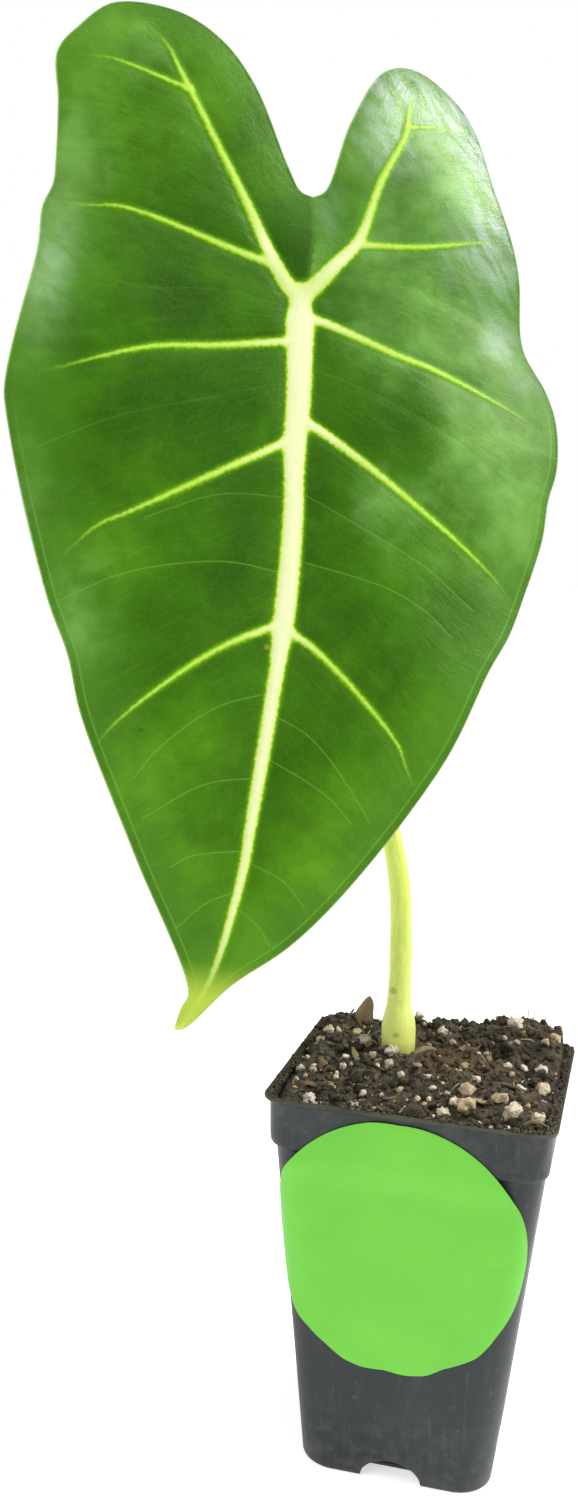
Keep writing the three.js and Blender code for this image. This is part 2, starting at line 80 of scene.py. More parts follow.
# The blade's frame, outline and veins, in millimetres right of the joint and towards the tip
JOINT = np.array([-33.25, -10, 240.25])
RIGHT = np.array([0.9192, 0.3847, -0.0836])
TIPWARD = np.array([0.0258, -0.2708, -0.9623])
FACE = np.array([0.3929, -0.8824, 0.2588])
LEFT_MARGIN = [
    [1, -20.5], [-1.5, -21.2], [-4.5, -26], [-12.5, -42], [-20, -50.5], [-29.5, -55], [-42, -54],
    [-48.5, -46.5], [-52, -40], [-50.8, -31], [-50, -20], [-50, -15], [-51.5, -10], [-51.5, 0],
    [-54.5, 28.5], [-54, 32], [-42.5, 67.5], [-37.5, 78], [-34, 88.5], [-21.5, 113], [-8.5, 138],
    [-9.5, 140.5], [-10.5, 145],
]
RIGHT_MARGIN = [
    [1, -20.5], [3.2, -22], [7.5, -38.5], [14, -52], [21.5, -55], [31.5, -51.5], [35.5, -46],
    [39.5, -31], [46.5, -13.5], [49, 0.5], [54.5, 8.5], [56.5, 15], [56.5, 27], [55, 34],
    [54.5, 43], [49.5, 61], [44, 71.5], [36, 90.5], [20.5, 115], [10, 127.5], [-0.5, 136],
    [-8.5, 144.5], [-10.5, 145],
]
MIDRIB = [[0, 0], [1.5, 23], [1.5, 31], [2.5, 46.5], [2.5, 67.5], [0, 106.5], [-0.5, 114], [-5, 136],
          [-9.3, 143]]
# Half its width, and how pale it is, at each height
MIDRIB_HALF = [[0, 1.5], [2, 2.8], [6, 2.95], [11, 2.6], [23, 2.4], [31, 2.3], [38, 1.9], [67, 2.1],
               [75, 1.45], [98, 1.25], [106, 1.05], [114, 0.87], [129, 0.62], [136, 0.35], [143, 0.2]]
MIDRIB_PALE = [[0, 1], [100, 1], [143, 0.75]]
# Each vein's route, its half width and its paleness from root to end, and its place in the flow
VEINS = [
    ([[-0.5, 1], [-2.8, -1.0], [-7.1, -7.3], [-12.2, -16.4], [-28, -42], [-30.5, -46], [-34.8, -50.4]],
     [1.7, 1.1, 0.72, 0.6, 0.5, 0.34], [1, 0.9, 0.6, 0.5, 0.4, 0], None),
    ([[0.5, 1], [3.2, -2.1], [6.5, -6.5], [10.7, -12.3], [14.4, -25.9], [19.1, -38.1], [19.6, -42.6],
      [20.3, -51.3]],
     [1.8, 1.3, 0.85, 0.66, 0.55, 0.34], [1, 0.95, 0.65, 0.55, 0.45, 0], None),
    ([[-25.5, -38], [-41.5, -41], [-47.5, -40.5]], [0.42, 0.34, 0.26], [0.45, 0.3, 0], -48),
    ([[-5.5, -4.5], [-13.5, -6], [-36.5, -11.5], [-42.5, -11], [-49, -11]],
     [0.75, 0.56, 0.46, 0.36, 0.28], [0.7, 0.5, 0.42, 0.28, 0], -6),
    ([[1, 10], [-14.5, 14], [-28.5, 17], [-46, 24.5], [-50, 26]],
     [0.8, 0.56, 0.46, 0.36, 0.28], [0.8, 0.6, 0.45, 0.26, 0], 10),
    ([[1.5, 30], [-28.5, 49], [-34.5, 52.5], [-39, 57.5], [-42, 61]],
     [0.85, 0.58, 0.47, 0.34, 0.26], [0.85, 0.6, 0.45, 0.26, 0], 30),
    ([[2.5, 66.5], [-10, 73.5], [-27, 89], [-31.5, 95.5]],
     [0.75, 0.5, 0.4, 0.3, 0.22], [0.8, 0.55, 0.45, 0.28, 0], 66.5),
    ([[19.5, -40], [28.5, -43], [36, -43]], [0.38, 0.3, 0.24], [0.45, 0.28, 0], -50),
    ([[10.5, -11.5], [22, -13], [43.5, -20.6]], [0.68, 0.5, 0.42, 0.32, 0.25], [0.7, 0.5, 0.4, 0.22, 0], -16),
    ([[1, 5.5], [3.5, 5.5], [20.5, 10.5], [27, 11.5], [47.5, 16.5], [53, 19]],
     [0.9, 0.66, 0.52, 0.38, 0.28], [0.85, 0.6, 0.48, 0.28, 0], 5.5),
    ([[1.5, 26.5], [4, 27], [25, 39.5], [44, 51], [49.5, 56]],
     [1, 0.7, 0.52, 0.38, 0.28], [0.9, 0.65, 0.5, 0.3, 0], 26.5),
    ([[2.5, 67.5], [9.5, 71.5], [26.5, 87.5], [28.5, 91.5], [31.5, 97]],
     [0.75, 0.5, 0.4, 0.32, 0.24], [0.8, 0.55, 0.46, 0.28, 0], 67.5),
]
# Soft patches of the blade's face: where, how far they reach across and along, and how strong they are.
# Light ones are paler and dark ones below 0, partly the blade's own tone and partly painted reflection and
# painted shade; yellow ones are brighter, and sheen is where it is glossy and where a painted glare is laid
# on.
PALE_DARK_AND_PAINTED_LIGHT = [
    [-49, 3, 6, 14, 0.45], [-46, -7, 6, 7, 0.12], [-51, 17, 5, 10, 0.15], [-43, -35, 9, 14, 0.08],
    [3, -19, 3, 8, -0.1], [8, -24, 4, 10, 0.04], [23, -45, 12, 11, 0.45], [35, -33, 9, 15, 0.5],
    [33, -8, 13, 12, 0.24], [30, 6, 15, 8, 0.22], [45, 10, 9, 10, 0.08], [40, 25, 15, 15, 0.42],
    [50, 40, 8, 14, 0.35], [20, 14, 10, 8, 0.18], [-48, 44, 5, 13, 0.25], [-38, 72, 5, 9, 0.28],
    [-33, 60, 9, 8, 0.15], [22, 50, 14, 10, 0.14], [-25, 32, 18, 13, -0.5], [-20, 12, 16, 8, -0.25],
    [-24, 5, 14, 6, -0.2], [24, 25, 5, 8, -0.5], [7, 48, 5, 16, -0.45], [-7, 52, 6, 14, -0.35],
    [-4, -12, 5, 10, -0.45], [10, 4, 6, 8, 0.18], [12, 62, 12, 10, -0.25], [-14, 66, 12, 10, -0.25],
    [26, 72, 9, 10, -0.3], [8, 95, 7, 9, -0.3], [-24, 82, 6, 9, -0.2], [-3, 128, 5, 7, -0.15],
    [19, -44, 8, 7, 0.45], [31, -31, 8, 11, 0.45], [13, -33, 5, 8, 0.42], [27, 36, 9, 6, 0.12],
    [-34, -25, 9, 9, 0.04], [-47, -34, 4, 10, 0.06], [32, 66, 8, 6, 0.2], [-25, 4, 8, 6, -0.3],
    [-8, 23, 5, 5, -0.3], [-2, -14, 4, 6, -0.5], [42, 2, 5, 4, 0.3], [47, 6, 4, 4, 0.15],
    [20, 1, 8, 7, 0.14], [-9, 108, 8, 8, -0.2], [-23, 99, 7, 8, -0.15],
    [-47, -21, 7, 9, 0.45], [17, -17, 7, 9, 0.3], [14, -10, 5, 5, 0.22], [18, 41, 7, 6, 0.28],
    [-31, 76, 7, 7, 0.25], [-11, -31, 5, 9, -0.5], [8, 124, 5, 6, -0.3],
    [-37, -45, 7, 6, 0.25], [43, 43, 7, 7, 0.15], [31, 62, 7, 6, 0.12],
]
YELLOW = [
    [-35, -25, 9, 9, 0.3], [-45, -36, 9, 14, 0.32], [-24, -38, 7, 8, 0.6], [-27, 38, 8, 8, 0.3],
    [-33, 57, 8, 6, 0.4], [-22, 101, 6, 9, 0.7], [12, 112, 7, 7, 0.8], [2, 124, 5, 8, 0.5],
    [-11, 92, 9, 7, 0.5], [20, 100, 8, 7, 0.6], [30, 83, 8, 9, 0.35], [-12, 112, 8, 8, 0.35],
    [6, 58, 7, 8, 0.25], [8, -32, 4, 7, 0.4], [40, 46, 9, 7, 0.35], [-10, -26, 6, 8, 0.3],
    [-35, -49, 6, 3, 0.55], [-41, -47, 4, 3, 0.4],
]
SHEEN = [
    [17, -50, 6, 5, 0.28], [16, -35, 7, 6, 0.5], [25, -48, 9, 6, 0.8], [36, -40, 7, 11, 1],
    [39, -22, 7, 9, 0.75], [35, -12, 8, 5, 0.15], [43, -12, 4, 8, 0.2], [43, 2, 5, 5, 0.55],
    [50, 8, 4, 4, 0.3], [4, -18, 3, 6, 0.15], [14, -44, 5, 8, 0.4], [-49, 4, 4, 12, 0.25],
]
# Thin veins that only just show
FAINT_VEINS = [
    [[1, 96.5], [-9.5, 99], [-20.5, 106.5]],
    [[-0.5, 110.5], [-10.5, 112.5], [-14.5, 115]],
    [[3, 54], [23, 58], [31, 61.5], [36, 65.5]],
    [[0.5, 92], [14, 99], [19, 103.5]],
    [[-1.5, 112], [7, 115.5], [11.5, 120]],
    [[1.8, 42], [-12, 43.5], [-26, 50]],
    [[2.3, 57], [-10, 56.5], [-28, 61], [-40, 68]],
    [[1.8, 80], [-9, 84.5], [-19, 93.5], [-23, 99.5]],
    [[1.5, 84], [9.5, 88], [18, 97], [22.5, 103]],
    [[-0.8, 118], [-7, 121], [-12, 126]],
    [[-1.5, 121], [3.5, 124.5], [6, 128]],
    [[2, 40], [17, 47], [30, 52.5], [40, 59]],
    [[1.4, 18], [-16, 25], [-34, 32], [-47, 39]],
    [[1.2, 15], [18, 20], [36, 27], [50, 36]],
    [[-1, 4], [-16, 3], [-34, 6], [-46, 6.5]],
    [[-11, -13], [-24, -19], [-42, -26]],
    [[-18, -26], [-30, -31], [-45, -34]],
    [[13, -20], [24, -25], [36, -32]],
    [[16, -31], [25, -35], [34, -40]],
    [[7, -8.5], [20, -5], [34, -2], [46, 2]],
]

# The stalk's route and its half width at each height
STALK_ROUTE = [
    [-7.1, 3.7, 70.3], [-7.3, 4.6, 84], [-8, 6.5, 92], [-8.8, 9.3, 105], [-10.4, 12, 118.6],
    [-16.5, 15.2, 140.6], [-25, 17, 175], [-31.3, 14.5, 205], [-35.6, 9.5, 224], [-37.7, 4.5, 232.5],
]
STALK_HALF = [[70, 4.6], [84, 3.5], [88.5, 3.6], [90.8, 3.3], [92.6, 2.75], [96, 2.5], [112, 2.4], [150, 2.2],
              [205, 1.95], [232, 1.95], [240, 2.2]]
STALK_FOOT = 76
# Two olive specks low on its front: where, and how large
STALK_SPECKS = [([-9.4, 4.6, 96.6], 1.1), ([-7.6, 1.2, 87.9], 0.9)]
# The heel at the joint: its length and half widths, and how it flares at each depth behind the blade
HEEL = {"length": 5, "root": 2.9, "end": 2.3}
HEEL_FLARES = [[0, 1.75], [0.5, 1.5], [1.1, 1.24], [1.9, 1.08], [3, 1], [4.2, 1], [5.4, 1]]

# Pale grains: x, y and how far across
GRAINS = [
    [-8.4, -0.3, 2.5], [-3.2, -15.5, 2.1], [-1.0, -21.5, 2.2], [-14.8, 6.1, 2.7], [0.6, -18.0, 1.7],
    [2.5, -20.2, 1.6], [10.0, -13.6, 3.0], [10.5, -19.6, 3.5], [8.1, -20.3, 1.8], [6.6, -22.7, 2.2],
    [16.4, 2.1, 1.9], [10.8, -5.0, 1.9], [23.8, -0.5, 2.6], [24.6, -6.8, 3.2], [20.1, -21.1, 3.6],
    [24.8, -18.7, 2.9], [-20.6, -22.6, 2.6], [-5.3, 19.5, 2.2], [0.9, 12.4, 2.4], [7.3, 0.7, 2.2],
    [9.7, 5.8, 1.7], [20.1, -7.4, 2.0], [16.9, -16.2, 3.0], [1.3, -7.3, 1.6], [-4.3, -9.5, 1.6],
    [-9.8, -6.4, 1.5], [-11.6, -2.2, 1.8], [-15, 23.5, 2.2], [-13.5, -7.1, 1.6], [-10.5, -12.8, 1.6],
    [-22.5, -10.8, 1.7], [-25.4, -10.2, 2.0], [-25, 6.3, 1.8], [-11.3, -23.3, 1.7], [-18.4, 14.7, 2.0],
    [-22.2, 11.9, 1.6], [-20, 23, 2.0], [25, 17.1, 2.6], [23.4, 12.6, 1.8], [14.4, 12.2, 1.7],
    [16.2, 17.3, 3.0], [-17.5, -2.5, 1.5], [-7.4, -5.6, 2.0], [-7.6, 0.7, 2.2], [13.9, -23.1, 1.5],
    [16.0, -24.3, 1.4], [23.6, -23.3, 1.5], [-24.0, 10.4, 2.0], [19.8, 3.2, 1.6], [-10.6, -17.3, 1.5],
    [19.4, -23.9, 1.3], [4.6, -23.9, 1.2],
]
# The section of a bark chip and of the chip that stands up behind the stalk, in halves of width and depth
CHIP_SECTION = [(-1, -1), (1, -1), (1.05, 0.3), (0.6, 1), (-0.5, 1.1), (-1.05, 0.2)]
STANDING_SECTION = [(-1, -0.2), (-0.5, -1), (0.4, -0.9), (1, -0.3), (0.8, 0.7), (0, 1), (-0.8, 0.6)]
STANDING_CHIP = np.array([-18.4, 22, 80.6])
# Fibres that stand up, with their tones
STANDING_FIBRES = [
    ([[18.2, 22, 86], [18.6, 22.3, 90], [18.0, 22.2, 93.4]], 1.0),
    ([[19.2, 22, 86], [19.8, 22.4, 89], [20.6, 22.2, 92]], 0.95),
    ([[22.3, 21.5, 85], [22.5, 21.6, 88.4], [22.2, 21.7, 91]], 0.25),
]

# Each soft light: the way it comes from, how wide it looks in degrees, and its strength
LAMPS = [
    ("key", (-0.45, -0.66, 0.6), 50, 1.15),
    ("right_high", (0.586, 0.19, 0.788), 16, 2.1),
    ("right_low", (0.834, 0.088, 0.545), 14, 1.1),
    ("side", (0.8, -0.2, 0.5), 60, 0.15),
    ("top", (0.05, -0.2, 0.97), 50, 0.6),
]
SKY_LIGHT = 0.24
FLOOR_RADIUS = 9  # In metres
# The photograph's camera, fitted to the pot: its lens and its sensor's size, its place, its turns in degrees
CAMERA_LENS = 36
CAMERA_PLACE = (41.3, -305.4, 190.7)
CAMERA_TURNS = [(13.79, "Z"), (82.22, "X"), (2.71, "Z")]


# Numbers and curves


def smoothstep(x, low, high):
    share = np.clip((np.asarray(x, float) - low) / (high - low), 0, 1)
    return share * share * (3 - 2 * share)


def along(pairs, x):
    return np.interp(x, *np.transpose(pairs))


def spread(values, share):
    """Evenly spread values, read at a share of the way from the first to the last."""
    return np.interp(share, np.linspace(0, 1, len(values)), values)


def smooth_line(points):
    """A centripetal Catmull-Rom curve through flat or spatial points."""
    p = np.array(points, float)
    p = np.vstack([2 * p[0] - p[1], p, 2 * p[-1] - p[-2]])
    share = np.linspace(0, 1, CURVE_STEPS, endpoint=False)[:, None]
    parts = []
    for a, b, c, d in zip(p, p[1:], p[2:], p[3:]):
        before, step, after = (max(np.linalg.norm(q - r) ** 0.5, 1e-4) for q, r in ((a, b), (b, c), (c, d)))
        leave = ((b - a) / before - (c - a) / (before + step) + (c - b) / step) * step
        arrive = ((c - b) / step - (d - b) / (step + after) + (d - c) / after) * step
        square = share * share * (3 * (c - b) - 2 * leave - arrive)
        parts.append(b + share * leave + square + share**3 * (2 * (b - c) + leave + arrive))
    return np.vstack([*parts, p[-2]])


def lengths(line):
    return np.r_[0, np.cumsum(np.linalg.norm(np.diff(line, axis=0), axis=1))]


def spaced(line, step):
    """The line again, with its points a step apart."""
    length = lengths(line)
    at = np.linspace(0, length[-1], max(2, round(length[-1] / step) + 1))
    return np.stack([np.interp(at, length, axis) for axis in np.asarray(line).T], 1)


def curve(points, step):
    return spaced(smooth_line(points), step)


def nearest(points, line):
    """How far each point is from a line, and how far along the line its nearest place is."""
    best = np.full(len(points), FAR)
    place_on = np.zeros(len(points))
    for start, end, before in zip(line, line[1:], lengths(line)):
        way = end - start
        size = way @ way
        share = np.clip((points - start) @ way / size, 0, 1)
        away = points - start - share[:, None] * way
        distance = np.hypot(away[:, 0], away[:, 1])
        closer = distance < best
        best[closer] = distance[closer]
        place_on[closer] = before + share[closer] * size**0.5
    return best, place_on


def inside(points, loop):
    """Which points lie inside a closed flat loop."""
    odd = np.zeros(len(points), bool)
    for (x0, y0), (x1, y1) in zip(loop, np.roll(loop, -1, axis=0)):
        spans = (points[:, 1] < y0) != (points[:, 1] < y1)
        if y0 != y1:
            odd ^= spans & (points[:, 0] < x0 + (points[:, 1] - y0) * (x1 - x0) / (y1 - y0))
    return odd


def lattice(outline, step):
    """Points of a triangular grid over the box round an outline."""
    low, high = outline.min(0), outline.max(0)
    rows = np.arange(low[1], high[1], step * 3**0.5 / 2)
    x, y = np.meshgrid(np.arange(low[0], high[0], step), rows)
    x = x + step / 2 * (np.arange(len(rows)) % 2)[:, None]
    return np.stack([x.ravel(), y.ravel()], 1)


def ripple(places, scale, octaves, seed):
    """Smooth noise at each flat or spatial place, about -1 to 1."""
    shift = Vector((seed * 17.3, seed * 5.1, seed * 9.7))
    spots = (Vector((*place, 0)[:3]) * scale + shift for place in places)
    return np.array([noise.fractal(spot, 0.6, 2.1, octaves) for spot in spots])


def triangulate(points, edges):
    """Triangles over flat points that keep the given edges. New points may come where edges cross."""
    found, _, faces, *_ = delaunay_2d_cdt([Vector(p) for p in points], edges, [], 0, 1e-4, False)
    return np.array([tuple(p) for p in found]), np.array([tuple(f) for f in faces])


def turning(points, triangles):
    """Twice the area of each flat triangle, and above 0 where it turns anticlockwise."""
    a, b, c = points[triangles].transpose(1, 0, 2)
    return (b - a)[:, 0] * (c - a)[:, 1] - (b - a)[:, 1] * (c - a)[:, 0]


def chain(start, count, closed=False):
    links = [(start + i, start + i + 1) for i in range(count - 1)]
    return links + [(start + count - 1, start)] if closed else links


# Meshes


def smooth_faces(mesh):
    mesh.polygons.foreach_set("use_smooth", np.full(len(mesh.polygons), True))


def new_piece(name, points, faces, materials, attributes=None, slots=None):
    """An object from points in millimetres, with a value for each point under each attribute's name."""
    mesh = bpy.data.meshes.new(name)
    mesh.from_pydata((np.asarray(points, float) * MM).tolist(), [], [list(map(int, f)) for f in faces])
    for material in materials:
        mesh.materials.append(material)
    if slots is not None:
        mesh.polygons.foreach_set("material_index", np.asarray(slots, np.int32))
    smooth_faces(mesh)
    for key, values in (attributes or {}).items():
        values = np.asarray(values, np.float32)
        kind, field = ("FLOAT", "value") if values.ndim == 1 else ("FLOAT_VECTOR", "vector")
        mesh.attributes.new(key, kind, "POINT").data.foreach_set(field, values.ravel())
    mesh.update()
    piece = bpy.data.objects.new(name, mesh)
    bpy.context.scene.collection.objects.link(piece)
    return piece


def place(piece, node, slot):
    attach(piece, "root")
    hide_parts(node)


def mark_sharp(piece, degrees):
    """Smooth shading, but not over edges that turn by more than this."""
    shape = bmesh.new()
    shape.from_mesh(piece.data)
    limit = math.radians(degrees)
    for edge in shape.edges:
        edge.smooth = len(edge.link_faces) == 2 and edge.calc_face_angle(0) < limit
    shape.to_mesh(piece.data)
    shape.free()


def loft(rings):
    """A closed skin over rings of equally many points, anticlockwise about the way that it runs."""
    count = len(rings[0])
    points = [p for ring in rings for p in ring]
    faces = []
    for start in range(0, len(points) - count, count):
        for i in range(count):
            a, b = start + i, start + (i + 1) % count
            faces.append((a, b, b + count, a + count))
    faces.append(tuple(reversed(range(count))))
    faces.append(tuple(range(len(points) - count, len(points))))
    return points, faces


def even_turns(count):
    return np.arange(count) * 2 * math.pi / count


def ring_round(middle, side, other, reaches):
    """Points round a middle, one for each reach, from one way towards another that is square to it."""
    turns = even_turns(len(reaches))[:, None]
    return middle + np.array(reaches)[:, None] * (np.cos(turns) * side + np.sin(turns) * other)


def tube(line, half_width, sides):
    """A skin round a line in space, its half width given for each point of the line and turn."""
    ways = np.gradient(line, axis=0)
    ways /= np.linalg.norm(ways, axis=1)[:, None]
    side = np.cross(ways[0], [0, 0, 1.0])
    if np.linalg.norm(side) < 0.1:
        side = np.cross(ways[0], [0, 1.0, 0])
    rings = []
    for i, (middle, way) in enumerate(zip(line, ways)):
        side = side - way * (side @ way)
        side /= np.linalg.norm(side)
        reaches = [half_width(i, turn) for turn in even_turns(sides)]
        rings.append(ring_round(middle, side, np.cross(way, side), reaches))
    return loft(rings)


class Merged:
    """Many small bodies gathered in one mesh, with a tone for each."""

    def __init__(self):
        self.points, self.faces, self.tones = [], [], []

    def add(self, points, faces, tone):
        count = len(self.tones)
        self.points.append(np.asarray(points, float))
        self.faces += [tuple(count + i for i in face) for face in faces]
        self.tones += [tone] * len(points)

    def piece(self, name, materials):
        return new_piece(name, np.vstack(self.points), self.faces, materials, {"tone": self.tones})


# Materials. Colours are as a screen shows them, from 0 to 255.


def linear(color):
    shown = np.array(color, float) / 255
    return (*np.where(shown <= 0.04045, shown / 12.92, ((shown + 0.055) / 1.055) ** 2.4), 1)


class Finish:
    """A material whose nodes are added one by one. A value may be a number, a colour or a socket."""

    def __init__(self, name):
        self.material = bpy.data.materials.new(name)
        self.material.use_nodes = True
        self.nodes = self.material.node_tree.nodes
        self.nodes.clear()
        self.color = None

    def node(self, kind, inputs, **settings):
        made = self.nodes.new("ShaderNode" + kind)
        for key, value in settings.items():
            setattr(made, key, value)
        for key, value in inputs.items():
            if isinstance(value, bpy.types.NodeSocket):
                self.material.node_tree.links.new(value, made.inputs[key])
            else:
                made.inputs[key].default_value = value
        return made

    def fields(self, *names):
        """The values that the mesh holds under these names."""
        return [self.node("Attribute", {}, attribute_name=name).outputs["Fac"] for name in names]

    def vector(self, name):
        return self.node("Attribute", {}, attribute_name=name).outputs["Vector"]

    def where(self):
        return self.node("TexCoord", {}).outputs["Object"]

    def axes(self, vector):
        return self.node("SeparateXYZ", {"Vector": vector}).outputs

    def scaled(self, vector, scale, offset=(0, 0, 0)):
        return self.node("Mapping", {"Vector": vector, "Scale": scale, "Location": offset}).outputs[0]

    def noise(self, vector, scale, detail=2.0, roughness=0.5, distortion=0.0, offset=(0, 0, 0)):
        """Cloudy values about 0.5. A scale for each axis stretches them."""
        if isinstance(scale, tuple):
            vector, scale = self.scaled(vector, scale, offset), 1.0
        values = {"Vector": vector, "Scale": scale, "Detail": detail, "Roughness": roughness}
        return self.node("TexNoise", {**values, "Distortion": distortion}).outputs["Fac"]

    def cells(self, vector, scale, feature="F1"):
        made = self.node("TexVoronoi", {"Vector": vector, "Scale": scale}, feature=feature)
        return made.outputs["Distance"]

    def math(self, kind, a, b=0.0):
        return self.node("Math", {0: a, 1: b}, operation=kind).outputs[0]

    def times(self, a, b):
        return self.math("MULTIPLY", a, b)

    def plus(self, a, b):
        return self.math("ADD", a, b)

    def minus(self, a, b):
        return self.math("SUBTRACT", a, b)

    def range(self, value, low, high, to_low=0.0, to_high=1.0, kind="SMOOTHSTEP"):
        values = {"Value": value, "From Min": low, "From Max": high, "To Min": to_low, "To Max": to_high}
        return self.node("MapRange", values, interpolation_type=kind).outputs[0]

    def mix(self, share, a, b):
        a, b = (x if isinstance(x, bpy.types.NodeSocket) else linear(x) for x in (a, b))
        return self.node("Mix", {0: share, 6: a, 7: b}, data_type="RGBA", clamp_factor=True).outputs[2]

    def lay(self, share, color):
        """Lays a share of another colour over the material's colour so far."""
        self.color = self.mix(share, self.color, color)

    def paint(self, value, low, high, at_low, at_high, color, kind="SMOOTHSTEP"):
        """Lays a colour over it, its share running from at_low to at_high as the value goes up."""
        self.lay(self.range(value, low, high, at_low, at_high, kind), color)

    def spot(self, vector, middle, reach, share, color):
        """Lays a soft round spot over it."""
        away = self.node("VectorMath", {0: vector, 1: middle}, operation="DISTANCE").outputs["Value"]
        self.paint(away, 0.3 * reach, reach, share, 0.0, color)

    def ramp(self, value, *stops):
        made = self.node("ValToRGB", {"Fac": value})
        elements = made.color_ramp.elements
        while len(elements) < len(stops):
            elements.new(0.5)
        for element, (at, color) in zip(elements, stops):
            element.position = at
            element.color = linear(color)
        return made.outputs["Color"]

    def bump(self, height, distance, strength=1.0, normal=None):
        values = {"Height": height, "Distance": distance, "Strength": strength}
        if normal is not None:
            values["Normal"] = normal
        return self.node("Bump", values).outputs[0]

    def surface(self, roughness, normal=None, **constants):
        values = {"Base Color": self.color, "Roughness": roughness}
        if normal is not None:
            values["Normal"] = normal
        for key, value in constants.items():
            values[key.replace("_", " ").title().replace("Ior", "IOR")] = value
        shader = self.node("BsdfPrincipled", values)
        self.node("OutputMaterial", {"Surface": shader.outputs[0]})
        return self.material


def leaf_face():
    f = Finish("leaf_face")
    blade, flow = f.vector("blade"), f.vector("flow")
    edge, pale, rim, faint, light, yellow, sheen = f.fields(
        "edge", "pale", "rim", "faint", "light", "yellow", "sheen")
    sideways, down, _ = f.axes(blade)
    edge = f.plus(edge, f.range(f.noise(blade, 1.1, 3.0, 0.6), 0.25, 0.75, -0.2, 0.2, "LINEAR"))

    # The flesh between the veins: soft clouds of dark and mid green, with paler, darker and yellower patches;
    # the paler and darker ones are partly painted reflection and painted shade
    clouds = f.noise(blade, 0.06, 4.0, 0.55, 0.4)
    f.color = f.ramp(clouds, (0.34, (39, 85, 5)), (0.5, (47, 95, 5)), (0.68, (58, 110, 9)))
    blots = f.noise(f.scaled(blade, (1, 1, 1), (40, 13, 0)), 0.16, 4.0, 0.6, 0.3)
    light = f.plus(light, f.range(blots, 0.3, 0.7, -0.12, 0.12, "LINEAR"))
    # Paler patches, partly the blade's own tone and partly painted reflection, and darker ones, partly
    # painted shade in hollows and folds
    f.paint(light, 0.0, 0.9, 0.0, 0.86, (134, 183, 96))
    f.paint(light, 0.0, -0.6, 0.0, 0.88, (27, 68, 4))
    f.lay(f.times(f.times(yellow, f.range(blots, 0.35, 0.65, 0.5, 1.0)), 0.75), (96, 154, 18))
    f.paint(rim, 1, 16, 0.22, 0.0, (96, 152, 54))
    f.paint(f.noise(flow, (0.55, 0.05, 1), 5.0, 0.7, 0.8), 0.4, 0.75, 0.0, 0.18, (36, 80, 18))
    light_streaks = f.noise(flow, (1.1, 0.09, 1), 4.0, 0.65, 0.6, (9, 4, 0))
    f.paint(light_streaks, 0.5, 0.8, 0.0, 0.14, (98, 150, 44))
    net = f.cells(f.scaled(blade, (0.75, 0.75, 1)), 1.0, "DISTANCE_TO_EDGE")
    f.paint(net, 0.0, 0.09, 0.06, 0.0, (108, 156, 52))
    # A painted glare: a pale, streaky highlight laid over the colour where the sheen is
    slant = f.node("VectorRotate", {"Vector": blade, "Angle": 0.74}, rotation_type="Z_AXIS").outputs[0]
    painted_glare = f.noise(slant, (0.4, 0.12, 1), 2.5, 0.5, 0.5, (3, 1, 0))
    f.lay(f.times(f.times(sheen, f.range(painted_glare, 0.36, 0.62, 0.3, 1.0)), 0.6), (202, 207, 214))

    # The faint veins, the vein that runs round inside the margin, and the halo beside the main veins
    lower = f.range(down, 20, 60)
    f.lay(f.times(f.range(faint, 0.04, 0.24, 0.26, 0.0), f.plus(lower, 0.25)), (112, 164, 58))
    lower = f.math("MAXIMUM", lower, f.times(f.range(sideways, 42, 50), f.range(down, 8, 18)))
    f.lay(f.times(f.range(rim, 1.1, 1.7, 0.26, 0.0), lower), (44, 92, 22))
    collecting = f.math("ABSOLUTE", f.minus(rim, 1.7))
    f.lay(f.times(f.range(collecting, 0.04, 0.26, 0.34, 0.0), lower), (112, 166, 66))
    halo = f.times(f.range(edge, 0.0, 1.1, 1.0, 0.0), f.range(pale, 0.04, 0.5))
    f.lay(f.times(halo, 0.56), (87, 146, 8))
    near = f.times(f.range(edge, 0.05, 0.4, 1.0, 0.0), f.range(pale, 0.15, 0.7))
    f.lay(f.times(near, 0.64), (131, 181, 22))

    # The veins: cream where they are wide, yellow green where they are thin, fading at their ends
    depth = f.range(edge, -1.5, 0.15, 0.0, 1.0, "LINEAR")
    wide = f.ramp(depth, (0.2, (216, 222, 173)), (0.6, (209, 218, 158)), (0.8, (194, 211, 100)),
                  (0.95, (157, 192, 38)))
    thin = f.ramp(depth, (0.4, (184, 211, 100)), (0.68, (168, 204, 68)), (0.92, (124, 178, 30)))
    vein = f.mix(f.range(pale, 0.45, 0.9), thin, wide)
    vein = f.mix(f.times(f.range(down, 70, 140), 0.5), vein, (188, 206, 126))
    grain = f.noise(blade, (1.6, 0.14, 1), 3.0, 0.6)
    vein = f.mix(f.range(grain, 0.45, 0.75, 0.0, 0.25), vein, (184, 204, 108))
    fork = f.times(f.range(down, -9, -2, 0.0, 1.0), f.range(down, -2, 5, 1.0, 0.0))
    vein = f.mix(f.times(fork, 0.45), vein, (160, 196, 58))
    left_lobe = f.times(f.range(down, -15, -6, 0.75, 0.0), f.range(sideways, -6, 2, 1.0, 0.3))
    vein = f.mix(left_lobe, vein, thin)
    there = f.times(f.range(edge, -0.18, 0.14, 1.0, 0.0), f.range(pale, 0.0, 0.42))
    f.lay(there, vein)

    # A few small blemishes, the tip, and the thin light line along the rim
    f.spot(blade, (-0.2, 71.6, 0), 0.8, 0.6, (150, 136, 50))
    f.spot(blade, (-22.5, 90.2, 0), 0.5, 0.6, (30, 66, 12))
    f.spot(blade, (7.5, 73.7, 0), 0.28, 0.6, (22, 54, 10))
    f.paint(down, 124, 136, 0.0, 0.4, (86, 138, 24))
    f.paint(down, 131, 140, 0.0, 0.92, (168, 190, 68))
    f.paint(down, 141, 146, 0.0, 0.7, (188, 204, 104))
    f.paint(rim, 0.05, 0.4, 0.6, 0.0, (168, 202, 128))

